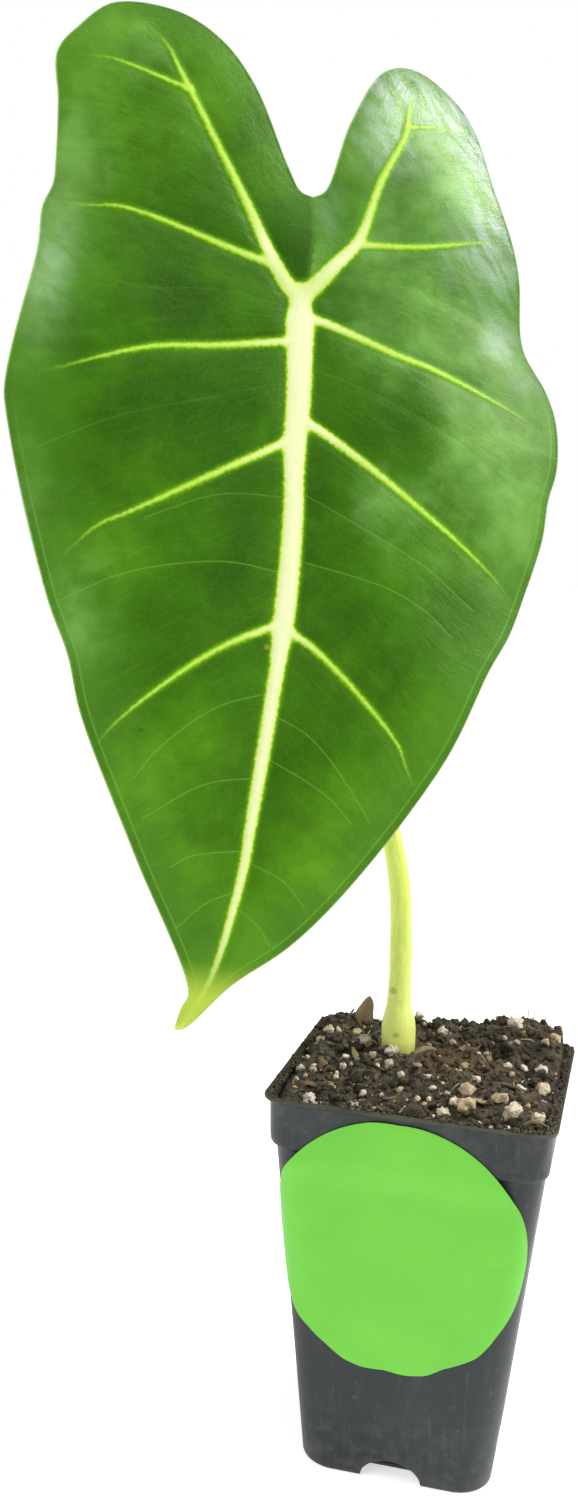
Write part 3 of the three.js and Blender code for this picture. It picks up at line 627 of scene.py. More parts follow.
    # Velvety flesh with soft dents and fine wrinkles along the flow, glossier where it catches the light
    dents = f.noise(flow, (0.3, 0.12, 1), 4.0, 0.6, 0.8)
    normal = f.bump(f.times(dents, f.plus(f.times(sheen, 0.6), 0.5)), 0.0008, 0.5)
    wrinkle = f.noise(flow, (0.9, 0.2, 1), 4.0, 0.65, 0.8)
    normal = f.bump(f.times(wrinkle, f.plus(sheen, 0.5)), 0.0002, 0.35, normal)
    pores = f.noise(blade, 2.4, 2.0, 0.6)
    normal = f.bump(pores, 0.0002, 0.35, normal)
    rough = f.minus(f.range(pores, 0.3, 0.7, 0.42, 0.5, "LINEAR"), f.times(there, 0.05))
    rough = f.minus(rough, f.times(f.math("MINIMUM", sheen, 1.0), 0.22))
    return f.surface(rough, normal, specular_ior_level=0.24, specular_tint=(0.8, 1.0, 0.3, 1.0))


def leaf_back():
    f = Finish("leaf_underside")
    blade, flow = f.vector("blade"), f.vector("flow")
    edge, pale, rim, faint = f.fields("edge", "pale", "rim", "faint")
    edge = f.plus(edge, f.range(f.noise(blade, 1.1), 0.25, 0.75, -0.2, 0.2, "LINEAR"))
    f.color = f.ramp(f.noise(blade, 0.07, 3.0), (0.3, (104, 140, 78)), (0.7, (126, 162, 92)))
    f.paint(f.noise(flow, (1.4, 0.09, 1), 3.0, 0.6), 0.3, 0.7, 0.0, 0.3, (92, 128, 70))
    net = f.cells(f.scaled(blade, (0.75, 0.75, 1)), 1.0, "DISTANCE_TO_EDGE")
    f.paint(net, 0.0, 0.12, 0.28, 0.0, (152, 182, 110))
    f.paint(faint, 0.1, 0.45, 0.6, 0.0, (156, 188, 112))
    halo = f.times(f.range(edge, 0.0, 1.2, 1.0, 0.0), f.range(pale, 0.0, 0.4))
    f.lay(f.times(halo, 0.6), (140, 178, 84))
    there = f.times(f.range(edge, -0.3, 0.3, 1.0, 0.0), f.range(pale, 0.0, 0.3))
    f.lay(there, f.mix(f.range(pale, 0.4, 0.9), (176, 202, 112), (204, 220, 148)))
    f.paint(rim, 0.05, 0.6, 0.5, 0.0, (170, 200, 122))
    pores = f.noise(blade, 2.0, 2.0, 0.6)
    rough = f.range(pores, 0.3, 0.7, 0.5, 0.62)
    return f.surface(rough, f.bump(pores, 0.0003, 0.4), specular_ior_level=0.35)


def stalk_flesh():
    f = Finish("stalk_flesh")
    where = f.vector("stalk")
    height = f.axes(where)[2]
    fibres = f.noise(where, (1.5, 1.5, 0.03), 4.0, 0.6)
    f.color = f.ramp(fibres, (0.3, (201, 220, 96)), (0.5, (212, 228, 105)), (0.72, (222, 232, 128)))
    f.paint(height, 86, 110, 0.5, 0.0, (232, 236, 136))
    f.paint(height, 84, 87, 0.6, 0.0, (176, 172, 84))
    f.paint(height, 200, 238, 0.0, 0.5, (176, 204, 92))
    f.paint(f.noise(where, 0.16, 3.0, 0.6), 0.52, 0.7, 0.0, 0.2, (190, 208, 80))
    flecks = f.noise(f.scaled(where, (1, 1, 0.6)), 0.9, 2.0, 0.7)
    f.paint(flecks, 0.7, 0.78, 0.0, 0.35, (128, 134, 54))
    f.paint(f.fields("speck")[0], 0.2, 1.0, 0.0, 0.5, (116, 122, 44))
    rough = f.range(fibres, 0.3, 0.7, 0.36, 0.5)
    return f.surface(rough, f.bump(fibres, 0.0004, 0.35), subsurface_weight=0.25,
                     subsurface_radius=(1.0, 0.8, 0.3), subsurface_scale=0.0012, specular_ior_level=0.45)


def pot_plastic():
    f = Finish("pot_plastic")
    where = f.where()
    height = f.axes(where)[2]
    scuffs = f.noise(where, (420, 420, 28), 4.0, 0.65)
    broad = f.noise(where, (60, 60, 22), 3.0)
    f.color = f.ramp(broad, (0.3, (35, 39, 41)), (0.7, (43, 47, 49)))
    f.paint(scuffs, 0.5, 0.8, 0.0, 0.26, (88, 91, 91))
    dashes = f.noise(where, (700, 700, 90), offset=(2, 5, 0))
    f.paint(dashes, 0.6, 0.82, 0.0, 0.2, (98, 100, 98))
    # Dust low down and on the collar, and dirt on the rim
    dust = f.noise(where, 300, 3.0, 0.6)
    low = f.times(f.range(height, 0.004, 0.022, 1.0, 0.0), f.range(dust, 0.42, 0.7))
    f.lay(f.times(low, 0.22), (100, 100, 96))
    high = f.times(f.range(height, 0.066, 0.076), f.range(dust, 0.4, 0.75))
    f.lay(f.times(high, 0.24), (96, 95, 84))
    rim_dirt = f.times(f.range(height, 0.0812, 0.0819), f.range(dust, 0.3, 0.55, 0.35, 1.0))
    f.lay(f.times(rim_dirt, 0.85), (70, 70, 52))
    # Paler on the sharp convex edges and corners: a painted highlight where they catch the light
    f.paint(f.node("NewGeometry", {}).outputs["Pointiness"], 0.53, 0.62, 0.0, 0.35, (112, 114, 108))
    f.paint(f.cells(where, 260), 0.04, 0.16, 0.14, 0.0, (116, 117, 113))
    normal = f.bump(scuffs, 0.0002, 0.3, f.bump(broad, 0.0006, 0.3))
    return f.surface(f.range(scuffs, 0.3, 0.75, 0.4, 0.54, "LINEAR"), normal, specular_ior_level=0.26)


def label_paper():
    f = Finish("label_paper")
    where = f.where()
    clouds = f.noise(where, 60, 3.0)
    f.color = f.ramp(clouds, (0.3, (98, 182, 53)), (0.7, (108, 191, 62)))
    smears = f.noise(where, (50, 50, 180), 3.0, 0.6, offset=(3, 0, 1))
    f.paint(smears, 0.55, 0.78, 0.0, 0.5, (92, 178, 54))
    f.paint(f.cells(where, 150), 0.03, 0.07, 0.4, 0.0, (92, 178, 56))
    normal = f.bump(clouds, 0.0004, 0.15, f.bump(f.noise(where, 900), 0.0001, 0.3))
    return f.surface(f.range(clouds, 0.3, 0.7, 0.4, 0.5), normal, specular_ior_level=0.25)


def soil_mix():
    f = Finish("soil_mix")
    where = f.where()
    coarse = f.noise(where, 260, 4.0, 0.65)
    f.color = f.ramp(coarse, (0.3, (38, 35, 28)), (0.5, (72, 66, 53)), (0.7, (106, 96, 77)))
    f.paint(f.fields("tone")[0], 0.0, 1.0, 0.0, 0.6, (112, 97, 75), "LINEAR")
    fine = f.noise(where, 1500, 3.0, 0.7)
    f.paint(fine, 0.4, 0.7, 0.0, 0.5, (34, 31, 25))
    f.paint(f.cells(where, 900), 0.1, 0.3, 0.35, 0.0, (136, 124, 102))
    # Browner in the middle, darker at the back right, a little green along the left
    f.spot(where, (0.005, 0.002, 0.085), 0.012, 0.42, (112, 86, 60))
    f.spot(where, (0.017, 0.011, 0.085), 0.009, 0.4, (38, 33, 30))
    f.spot(where, (-0.027, -0.004, 0.083), 0.02, 0.3, (58, 64, 42))
    normal = f.bump(coarse, 0.0012, 0.6, f.bump(fine, 0.0006, 0.9))
    return f.surface(f.range(fine, 0.3, 0.7, 0.82, 0.98), normal, specular_ior_level=0.3)


def grain_finish():
    f = Finish("perlite_grain")
    where = f.where()
    f.color = f.ramp(f.fields("tone")[0], (0.0, (150, 122, 92)), (0.35, (206, 184, 150)),
                     (0.65, (212, 198, 174)), (1.0, (226, 220, 206)))
    dirt = f.noise(where, 700, 4.0, 0.65)
    f.paint(dirt, 0.46, 0.68, 0.0, 0.75, (120, 98, 72))
    pits = f.cells(where, 1800)
    f.paint(pits, 0.0, 0.35, 0.35, 0.0, (98, 80, 60))
    return f.surface(f.range(dirt, 0.3, 0.7, 0.75, 0.92), f.bump(pits, 0.0003, 0.8),
                     subsurface_weight=0.1, subsurface_scale=0.0005, specular_ior_level=0.35)


def bark_finish():
    f = Finish("bark_chip")
    where = f.where()
    (tone,) = f.fields("tone")
    grain = f.noise(where, (1100, 1100, 300), 4.0, 0.65)
    f.color = f.ramp(grain, (0.3, (50, 40, 28)), (0.5, (84, 68, 48)), (0.72, (128, 108, 80)))
    f.paint(tone, 0.0, 1.0, 0.0, 0.7, (158, 138, 104), "LINEAR")
    f.paint(f.noise(where, 400, 3.0), 0.5, 0.7, 0.0, 0.4, (50, 40, 30))
    f.paint(tone, 0.82, 0.92, 0.0, 0.55, (184, 160, 126))
    return f.surface(f.range(grain, 0.3, 0.7, 0.7, 0.92), f.bump(grain, 0.0006, 0.8), specular_ior_level=0.3)


def fibre_finish():
    f = Finish("root_fibre")
    tint = f.noise(f.where(), 500)
    f.color = f.ramp(f.fields("tone")[0], (0.0, (46, 34, 24)), (0.5, (120, 98, 70)), (1.0, (214, 206, 176)))
    f.paint(tint, 0.4, 0.7, 0.0, 0.4, (84, 66, 48))
    return f.surface(f.range(tint, 0.3, 0.7, 0.6, 0.85), specular_ior_level=0.3)


def corm_flesh():
    f = Finish("corm_flesh")
    where = f.where()
    rings = f.noise(where, (120, 120, 700), 3.0, 0.6)
    f.color = f.ramp(rings, (0.3, (92, 64, 42)), (0.55, (140, 108, 76)), (0.75, (184, 156, 118)))
    skin = f.noise(where, 600, 3.0, 0.6)
    f.paint(skin, 0.5, 0.7, 0.0, 0.5, (70, 50, 34))
    return f.surface(f.range(skin, 0.3, 0.7, 0.7, 0.9), f.bump(rings, 0.0008, 0.6))


def floor_finish():
    f = Finish("studio_floor")
    tint = f.noise(f.where(), 3.0)
    f.color = f.ramp(tint, (0.3, (240, 240, 240)), (0.7, (244, 244, 244)))
    return f.surface(f.range(tint, 0.3, 0.7, 0.6, 0.7), specular_ior_level=0.2,
                     emission_color=(1, 1, 1, 1), emission_strength=0.6)


# The blade


def blade_height(u, v):
    """How far the blade stands out of its own plane, as in the solids."""
    fold = 0.11 * (np.sqrt(u * u + 16) - 4) - 0.0017 * u * u
    arch = -5 * ((v - 30) / 100) ** 2
    right_curl = -9 * smoothstep(u, 15, 62) * (1 - smoothstep(v, 20, 95))
    lobe_curl = -7 * (1 - smoothstep(v, -60, -15)) * smoothstep(u, 0, 40)
    edge = np.minimum(np.abs(u) / 50, 1.15) ** 2.2
    phase = np.where(u < 0, (v + 13) / 62, (v + 1) / 60)
    wave = -2.6 * edge * np.cos(2 * math.pi * phase) * (1 - smoothstep(v, 45, 105))
    return fold + arch + right_curl + lobe_curl + wave


def on_blade(u, v, lift):
    u, v, lift = (np.asarray(x, float)[..., None] for x in (u, v, lift))
    return JOINT + RIGHT * u + TIPWARD * v + FACE * (blade_height(u, v) + lift)


def harmonic(places, triangles, fixed, values):
    """A field over a flat mesh that is as smooth as can be and takes the given values where fixed."""
    starts, ends, weights = [], [], []
    for corner in range(3):
        a, b, c = np.roll(triangles, -corner, axis=1).T
        p, q = places[b] - places[a], places[c] - places[a]
        area = np.abs(p[:, 0] * q[:, 1] - p[:, 1] * q[:, 0])
        starts.append(b)
        ends.append(c)
        weights.append(np.maximum((p * q).sum(1) / np.maximum(area, 1e-6), 0.02))
    starts, ends, weights = map(np.concatenate, (starts, ends, weights))
    count = len(places)

    def gathered(at_end, at_start):
        return np.bincount(starts, at_end, count) + np.bincount(ends, at_start, count)

    total = gathered(weights, weights)
    free = np.ones(count)
    free[fixed] = 0

    def pull(x):
        return (total * x - gathered(weights * x[ends], weights * x[starts])) * free

    field = np.zeros(count)
    field[fixed] = values
    rest = -pull(field)
    way = rest / total
    size = rest @ way
    for _ in range(HARMONIC_ROUNDS):
        pulled = pull(way)
        step = size / max(way @ pulled, 1e-30)
        field += step * way
        rest -= step * pulled
        scaled = rest / total
        new_size = rest @ scaled
        if new_size < 1e-9:
            break
        way = scaled + new_size / size * way
        size = new_size
    return field


def vein_lines():
    """Every main vein: its line, its half widths and palenesses from root to end, and its flow."""
    midrib = smooth_line(MIDRIB)
    length = lengths(midrib)
    down = np.interp(np.linspace(0, 1, 24) * length[-1], length, midrib[:, 1])
    first = (spaced(midrib, VEIN_STEP), along(MIDRIB_HALF, down), along(MIDRIB_PALE, down), None)
    return [first] + [(curve(route, VEIN_STEP), *rest) for route, *rest in VEINS]


def vein_fields(points, veins):
    """At each point: how far off the veins' edges it is, below 0 inside, the half width and the
    paleness of those nearby, and how far they stand out of the back."""
    edges, halves, pales, ridges = [], [], [], []
    for line, half, pale, _ in veins:
        distance, place_on = nearest(points, line)
        share = place_on / lengths(line)[-1]
        half = spread(half, share)
        edges.append(distance - half)
        halves.append(half)
        pales.append(spread(pale, share))
        reach = np.clip(distance / (1.15 * half + 0.35), 0, 1)
        ridges.append((0.3 + 0.6 * half) * (0.5 + 0.5 * np.cos(math.pi * reach)))
    joined = edges[0]
    for edge in edges[1:]:
        overlap = np.maximum(VEIN_WEB - np.abs(joined - edge), 0) / VEIN_WEB
        joined = np.minimum(joined, edge) - overlap**2 * VEIN_WEB / 4
    weight = np.exp(-(edges - np.min(edges, axis=0)) / 0.5)
    weight /= weight.sum(0)
    return joined, (halves * weight).sum(0), (pales * weight).sum(0), np.max(ridges, axis=0)


def soft_patches(points, patches):
    """The sum of soft round patches at each flat point."""
    u, v = points.T
    total = 0
    for a, b, wide, tall, much in patches:
        total = total + much * np.exp(-(((u - a) / wide) ** 2) - ((v - b) / tall) ** 2)
    return total


def painted_fold_light_and_shade(u, v):
    """Painted light and shade along the fold that runs from the notch down to the joint: paler on one side of
    it, darker on the other.
    """
    across = u - 0.6 - 0.05 * (v + 20)
    along_it = smoothstep(v, -24, -19) * (1 - smoothstep(v, -4, -1))
    pale = 0.6 * smoothstep(across, 0, 0.6) * np.exp(-np.maximum(across, 0) / 4.5)
    dark = 0.4 * (1 - smoothstep(across, -0.6, 0)) * np.exp(-((across + 0.6) / 3) ** 2)
    return along_it * (pale - dark)


def blade_mesh(veins, faint):
    """Flat points and triangles for both faces of the blade, and its closed outline."""
    outline = np.vstack([smooth_line(LEFT_MARGIN), smooth_line(RIGHT_MARGIN)[::-1]])
    outline = spaced(outline, 0.8)[:-1]
    closed = np.vstack([outline, outline[:1]])

    def sown(step):
        """Points inside the outline, and how far each is off a vein's edge, a faint vein, any
        vein's middle and the rim."""
        spots = lattice(outline, step)
        spots = spots[inside(spots, outline)]
        near = centre = np.full(len(spots), FAR)
        for line, half, *_ in veins:
            line = line[::2]
            distance, place_on = nearest(spots, line)
            near = np.minimum(near, distance - spread(half, place_on / lengths(line)[-1]))
            centre = np.minimum(centre, distance)
        thin = np.min([nearest(spots, line[::2])[0] for line in faint], axis=0)
        return spots, near, thin, np.minimum(centre, thin), nearest(spots, closed)[0]

    # Close points beside the veins and the rim, wide ones elsewhere, none where slivers would come
    coarse_step, fine_step = ((1.2, 0.56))
    fine, near, thin, centre, rim = sown(fine_step)
    fine = fine[((near < 1.9) | (thin < 0.7) | (rim < 1.3)) & (centre > 0.3) & (rim > 0.45)]
    coarse, near, thin, _, rim = sown(coarse_step)
    coarse = coarse[(near >= 2.1) & (thin >= 1.0) & (rim >= 1.6)]

    # The outline and every vein's middle are edges of the mesh. A vein that ends at the rim stops short
    parts, edges, count = [outline], chain(0, len(outline), closed=True), len(outline)
    for line in [vein[0] for vein in veins] + faint:
        if np.hypot(*(line[-1] - outline).T).min() < 0.6:
            line = line[:-1]
        edges += chain(count, len(line))
        parts.append(line)
        count += len(line)
    points, triangles = triangulate(np.vstack([*parts, fine, coarse]), edges)
    triangles = triangles[inside(points[triangles].mean(1), outline)]
    triangles = triangles[np.abs(turning(points, triangles)) > 1e-6]
    wrong = turning(points, triangles) > 0
    triangles[wrong] = triangles[wrong][:, ::-1]
    used, triangles = np.unique(triangles, return_inverse=True)
    return points[used], triangles.reshape(-1, 3), closed


def flow_field(points, triangles, veins, rim):
    """The way the flesh grows: level with each side vein, down the midrib and out along the lobes."""
    fixed, flows, roots = [], [], []
    for i, (line, _, _, flow) in enumerate(veins):
        distance, place_on = nearest(points, line)
        on_line = np.flatnonzero(distance < TOUCH)
        fixed.append(on_line)
        if flow is None:
            roots.append(on_line)
            flows.append(-place_on[on_line] if i else points[on_line, 1])
        else:
            flows.append(np.full(len(on_line), float(flow)))
    fixed, first = np.unique(np.concatenate(fixed), return_index=True)
    down = harmonic(points, triangles, fixed, np.concatenate(flows)[first])
    roots = np.unique(np.concatenate(roots))
    margin = np.setdiff1d(np.flatnonzero(rim < TOUCH), roots)
    ends = np.r_[np.zeros(len(roots)), np.ones(len(margin))]
    out = harmonic(points, triangles, np.r_[roots, margin], ends) * 50
    return np.stack([down, out, np.zeros(len(points))], 1)


def heel():
    """The stub behind the joint that the stalk grows out of."""
    rings = []
    for depth, flare in HEEL_FLARES:
        radius = flare * (HEEL["root"] + depth / HEEL["length"] * (HEEL["end"] - HEEL["root"]))
        rings.append(ring_round(on_blade(0, 0, -depth), RIGHT, TIPWARD, [radius] * 32))
    return loft(rings)


def leaf():
    veins = vein_lines()
    faint = [curve(route, 0.6) for route in FAINT_VEINS]
    points, triangles, outline = blade_mesh(veins, faint)
    u, v = points.T
    rim = nearest(points, outline)[0]
    edge, half, pale, ridge = vein_fields(points, veins)
    thin = np.min([nearest(points, line)[0] for line in faint], axis=0)
    flow = flow_field(points, triangles, veins, rim)

    # Raised veins in shallow furrows, flesh that swells between them, wrinkles along the flow
    inner = smoothstep(rim, 0, 7)
    crest = (0.12 + 0.1 * half) * (1 - smoothstep(edge, -half * 0.9, 0.25)) * smoothstep(pale, 0, 0.4)
    furrow = -0.16 * np.exp(-(((edge - 0.7) / 0.6) ** 2)) * smoothstep(pale, 0, 0.5)
    swell = 0.75 * (1 - np.exp(-np.maximum(edge, 0) / 6)) * inner
    dips = -0.1 * np.exp(-((thin / 0.7) ** 2)) * inner
    dents = 0.3 * ripple(points, 1 / 13, 2, 3) * inner * smoothstep(edge, 0, 5)
    right_lobe = 0.4 + 0.6 * smoothstep(u, 5, 40) * (1 - smoothstep(v, -5, 45))
    wrinkles = 0.09 * ripple(flow * [0.42, 0.09, 1], 1.0, 3, 5) * smoothstep(edge, 0, 2)
    wrinkles = wrinkles * smoothstep(rim, 0, 2) * right_lobe
    thickness = 0.12 + 0.2 * smoothstep(rim, 0, 1.2)
    front = on_blade(u, v, thickness + crest + furrow + swell + dips + dents + wrinkles)
    grooves = ridge * smoothstep(rim, 0, 5) + 0.12 * np.exp(-((thin / 0.5) ** 2))
    back = on_blade(u, v, swell + dents + wrinkles - grooves - thickness)
    stub, stub_faces = heel()

    count = len(points)
    used = dict.fromkeys(pair for a, b, c in triangles.tolist() for pair in ((a, b), (b, c), (c, a)))
    rim_faces = [(b, count + b, count + a, a) for a, b in used if (b, a) not in used]
    faces = triangles.tolist() + (triangles[:, ::-1] + count).tolist() + rim_faces
    faces += [tuple(2 * count + i for i in face) for face in stub_faces]
    slots = [0] * len(triangles) + [1] * len(triangles) + [0] * len(rim_faces) + [1] * len(stub_faces)

    # What the looks need at each point of a face, and the value that all of the heel has
    flat = np.c_[points, np.zeros(count)]
    light, yellow, sheen = (soft_patches(points, patches) for patches in (PALE_DARK_AND_PAINTED_LIGHT, YELLOW, SHEEN))
    # The fold's painted light and shade joins the pale and dark patches
    light = light + painted_fold_light_and_shade(u, v)
    attributes = {}
    for key, values, on_heel in (
        ("blade", flat, 0), ("flow", flow, 0), ("edge", edge, -2), ("pale", pale, 1), ("rim", rim, 20),
        ("faint", thin, 9), ("light", light, 0), ("yellow", yellow, 0), ("sheen", sheen, 0),
    ):
        rest = np.full((len(stub), *values.shape[1:]), float(on_heel))
        attributes[key] = np.concatenate([values, values, rest])
    skins = [leaf_face(), leaf_back()]
    piece = new_piece("leaf_fine", np.vstack([front, back, stub]), faces, skins, attributes, slots)
    place(piece, "leaf_blade", "leaf_flesh")


# The stalk


def stalk():
    seat = HEEL["length"] + 0.3
    neck = [on_blade(0, 0, -back).tolist() for back in (seat + 5, seat, seat - 2)]
    line = curve(STALK_ROUTE + neck, 0.7)
    line = line[line[:, 2] > STALK_FOOT]

    def half_width(i, turn):
        z = line[i, 2]
        sheath_end = 95 + 4 * math.cos(turn - 0.7)
        sheath = 0.12 * (1 - smoothstep(z, sheath_end - 1.5, sheath_end))
        ribs = 0.025 * math.sin(9 * turn) + 0.015 * math.sin(23 * turn + 0.05 * z)
        knobs = 0.12 * noise.noise(Vector((math.cos(turn), math.sin(turn), z * 0.08)) * 1.3)
        return along(STALK_HALF, z) + sheath + ribs + knobs - 0.04

    points, faces = tube(line, half_width, 44)
    points = np.array(points)
    specks = np.zeros(len(points))
    for middle, size in STALK_SPECKS:
        away = np.linalg.norm((points - middle) * [1, 0.6, 1.2], axis=1)
        specks = np.maximum(specks, 1 - smoothstep(away, size * 0.4, size * 1.5))
    piece = new_piece("stalk_fine", points, faces, [stalk_flesh()], {"stalk": points, "speck": specks})
    place(piece, "petiole", "stalk_flesh")


# The pot and its label


def rounded_square(station, corner_steps=14, side_steps=1):
    half, radius, z = station
    flat = half - radius
    points = []
    for quarter, (sx, sy) in zip(even_turns(4), ((1, 1), (-1, 1), (-1, -1), (1, -1))):
        for step in range(corner_steps + 1):
            turn = quarter + step / corner_steps * math.pi / 2
            points.append([sx * flat + radius * math.cos(turn), sy * flat + radius * math.sin(turn), z])
        x, y, _ = points[-1]
        for step in range(1, side_steps):
            run = 2 * flat * step / side_steps
            points.append([x - run * math.cos(quarter), y - run * math.sin(quarter), z])
    return np.array(points)


def steps_off(mark, *steps):
    """Stations of a profile, each a small step off one of the pot's marks."""
    return [mark + step for step in steps]


def wall_at(z):
    return FOOT + z / SHOULDER[2] * (SHOULDER - FOOT)


def cut_notches(piece, grow):
    """Cuts the arched notches out of the middle of each side of the foot."""
    half, top = NOTCH["width"] / 2 + grow, NOTCH["height"] + grow
    arch = [(half * math.cos(t), top * math.sin(t)) for t in np.linspace(0, math.pi, 25)]
    arch = [(half, -2), *arch, (-half, -2)]
    tool = Merged()
    for turn in even_turns(4):
        cos, sin = math.cos(turn), math.sin(turn)
        reaches = (NOTCH["depth"] + grow - FOOT[0], -FOOT[0] - 4)
        tool.add(*loft([[[x * cos - y * sin, x * sin + y * cos, z] for x, z in arch] for y in reaches]), 0)
    cutter = tool.piece("cutter", [])
    cut = piece.modifiers.new("notches", "BOOLEAN")
    cut.object = cutter
    cut.operation = "DIFFERENCE"
    cut.solver = "EXACT"
    bpy.context.view_layer.update()
    made = bpy.data.meshes.new_from_object(piece.evaluated_get(bpy.context.evaluated_depsgraph_get()))
    piece.modifiers.clear()
    piece.data = made
    smooth_faces(made)
    bpy.data.objects.remove(cutter)


def pot():
    profile = steps_off(FOOT, [-0.6, -0.5, 0], [-0.3, -0.2, 0.12], [-0.08, -0.1, 0.4])
    profile += [wall_at(z) for z in (0.9, 5, 14, 28, 42, 56, 68, 70.9)]
    profile += steps_off(COLLAR, [-0.55, 0.3, -0.72], [-0.2, 0.1, -0.5], [-0.02, 0, 0], [0.08, 0, 1])
    profile += steps_off(TOP, [-0.03, 0, -1.5], [0.15, 0, -1.15])
    profile += steps_off(LIP, [-0.3, 0.1, -0.95], [-0.05, 0, -0.7], [0, 0, -0.4], [-0.06, 0, -0.14],
                         [-0.25, -0.1, 0])
    # Over the lip and down the inside
    profile += steps_off(TOP, [-0.1, -WALL, 0], [-0.5, -WALL, -0.25], [-WALL, -WALL, -1])
    profile += steps_off(COLLAR, [-WALL, -WALL, 0.4])
    profile += steps_off(SHOULDER, [-WALL, -WALL, 0.3])
    profile += steps_off(FOOT, [0.1 - WALL, -WALL, WALL + 0.8], [-0.7 - WALL, -0.5 - WALL, WALL])
    rings = [rounded_square(station) for station in profile]
    # The thin walls bow a little, each in its own way
    for ring in rings:
        z = ring[0, 2]
        mid = math.sin(math.pi * min(z / BOW_TOP, 1))
        bow = 0.12 * mid * np.sin(ring[:, 0] * 0.09 + 0.4 + z * 0.03) * np.cos(ring[:, 1] * 0.07 + 1.1)
        ring[:, :2] *= (1 - np.abs(bow) / 25)[:, None]
    piece = new_piece("pot_fine", *loft(rings), [pot_plastic()])
    cut_notches(piece, 0)
    mark_sharp(piece, 32)
    place(piece, "pot", "pot_plastic")


def on_front_wall(round_, z, lift):
    """A place on the front wall: how far round from its middle, at what height, how far off it."""
    half, corner, _ = wall_at(z)
    bridged = float(smoothstep(z, COLLAR[2] - LABEL["bridge"], COLLAR[2]))
    taper = np.clip((z - COLLAR[2]) / (TOP[2] - 1.2 - COLLAR[2]), 0, 1)
    collar_half = COLLAR[0] + taper * (TOP[0] - COLLAR[0])
    radius = corner + (COLLAR[1] - corner) * bridged
    flat = half + (max(collar_half, half) - half) * bridged - radius
    turn = max(0, abs(round_) - flat) / radius
    x = min(abs(round_), flat) + (radius + lift) * math.sin(turn)
    return [math.copysign(x, round_), -flat - (radius + lift) * math.cos(turn), z]


def label():
    rings, sides = ((26, 144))
    outer, inner = [], []
    for ring in range(rings + 1):
        for turn in even_turns(sides if ring else 1):
            reach = ring / rings
            reach *= 1 + reach**2 * (along(LABEL_WAVES, math.degrees(turn)) - 1)
            across = LABEL["x"] + LABEL["half_width"] * reach * math.cos(turn)
            up = LABEL["z"] + LABEL["half_height"] * reach * math.sin(turn)
            thin = 0.1 if ring == rings else 0
            outer.append(on_front_wall(across, up, LABEL["lift"] + LABEL["thickness"] - thin))
            inner.append(on_front_wall(across, up, LABEL["lift"]))
    count = len(outer)
    last = count - sides
    faces, edge = [], []
    for side in range(sides):
        after = (side + 1) % sides
        faces.append((0, 1 + side, 1 + after))
        for start in range(1, last, sides):
            a, b = start + side, start + after
            faces.append((a, a + sides, b + sides, b))
        edge.append((last + side, count + last + side, count + last + after, last + after))
    back = [tuple(count + i for i in reversed(face)) for face in faces]
    piece = new_piece("label_fine", outer + inner, faces + back + edge, [label_paper()])
    mark_sharp(piece, 40)
    place(piece, "label", "label_paper")


# The soil


def soil_top(x, y):
    edge = np.maximum(np.abs(x), np.abs(y)) / SOIL["half"]
    heaped = sum(height * np.exp(-(np.hypot(x - a, y - b) / wide) ** 2) for a, b, height, wide in HEAPS)
    rough = 0.7 * np.sin(0.55 * x + 1) * np.cos(0.5 * y) + 0.4 * np.sin(1.1 * x - 0.9 * y)
    slope = SOIL["slope_x"] * x + SOIL["slope_y"] * y
    return SOIL["middle"] + slope - SOIL["edge_drop"] * edge**4 + heaped + rough


def soil_height(x, y):
    """The soil's surface with its crumbs, for arrays of places."""
    spots = np.stack([x, y], 1)
    crumbs = 0.75 * ripple(spots, 1 / 4.2, 3, 1) + 0.5 * ripple(spots, 1 / 1.7, 2, 2)
    edge = np.maximum(np.abs(x), np.abs(y))
    calm = 1 - 0.6 * smoothstep(edge, 24.5, 27)
    # Mix is banked up against the left and the back wall, up to the rim
    left = 2.6 * smoothstep(-x, 17, 26) * smoothstep(y, -27, -14)
    back = 1.1 * smoothstep(y, 17, 26)
    right = 1.6 * smoothstep(x, 20, 26) * smoothstep(y, -22, -5)
    banked = np.maximum(np.maximum(left, back), right)
    top = soil_top(x, y) + banked + crumbs * calm
    return np.where(edge > 26.4, np.minimum(top, SOIL["edge_top"] + 0.4 + np.minimum(banked, 1.1)), top)


def height_at(x, y):
    return float(soil_height(np.array([x]), np.array([y]))[0])


def soil_body(material):
    inset = WALL + SOIL["gap"]
    side = steps_off(FOOT, [-0.7 - inset, -0.5 - inset, WALL + 0.1], [-inset, -inset, WALL + 0.9])
    side += steps_off(SHOULDER, [-inset, -inset, 0.2])
    side += steps_off(COLLAR, [-inset, -inset, 0.8])
    rings = [rounded_square(station, 8, 24) for station in side]
    edge = rings[-1][:, :2]
    inner = lattice(edge, 0.55)
    inner = inner[inside(inner, edge * 0.985)]
    top, triangles = triangulate(np.vstack([edge, inner]), chain(0, len(edge), closed=True))
    wrong = turning(top, triangles) < 0
    triangles[wrong] = triangles[wrong][:, ::-1]
    below = np.vstack(rings[:-1])
    points = np.vstack([below, np.c_[top, soil_height(*top.T)]])
    faces = loft(rings)[1][:-1] + (triangles + len(below)).tolist()
    piece = new_piece("soil_fine", points, faces, [material])
    cut_notches(piece, SOIL["notch_gap"])
    place(piece, "soil", "potting_mix")


def ball(divisions):
    """The points and faces of a ball of half width 1, made of triangles."""
    shape = bmesh.new()
    bmesh.ops.create_icosphere(shape, subdivisions=divisions, radius=1)
    points = np.array([tuple(v.co) for v in shape.verts])
    faces = [tuple(v.index for v in face.verts) for face in shape.faces]
    shape.free()
    return points, faces


def tries(count):
    return range(int(count * (1)))


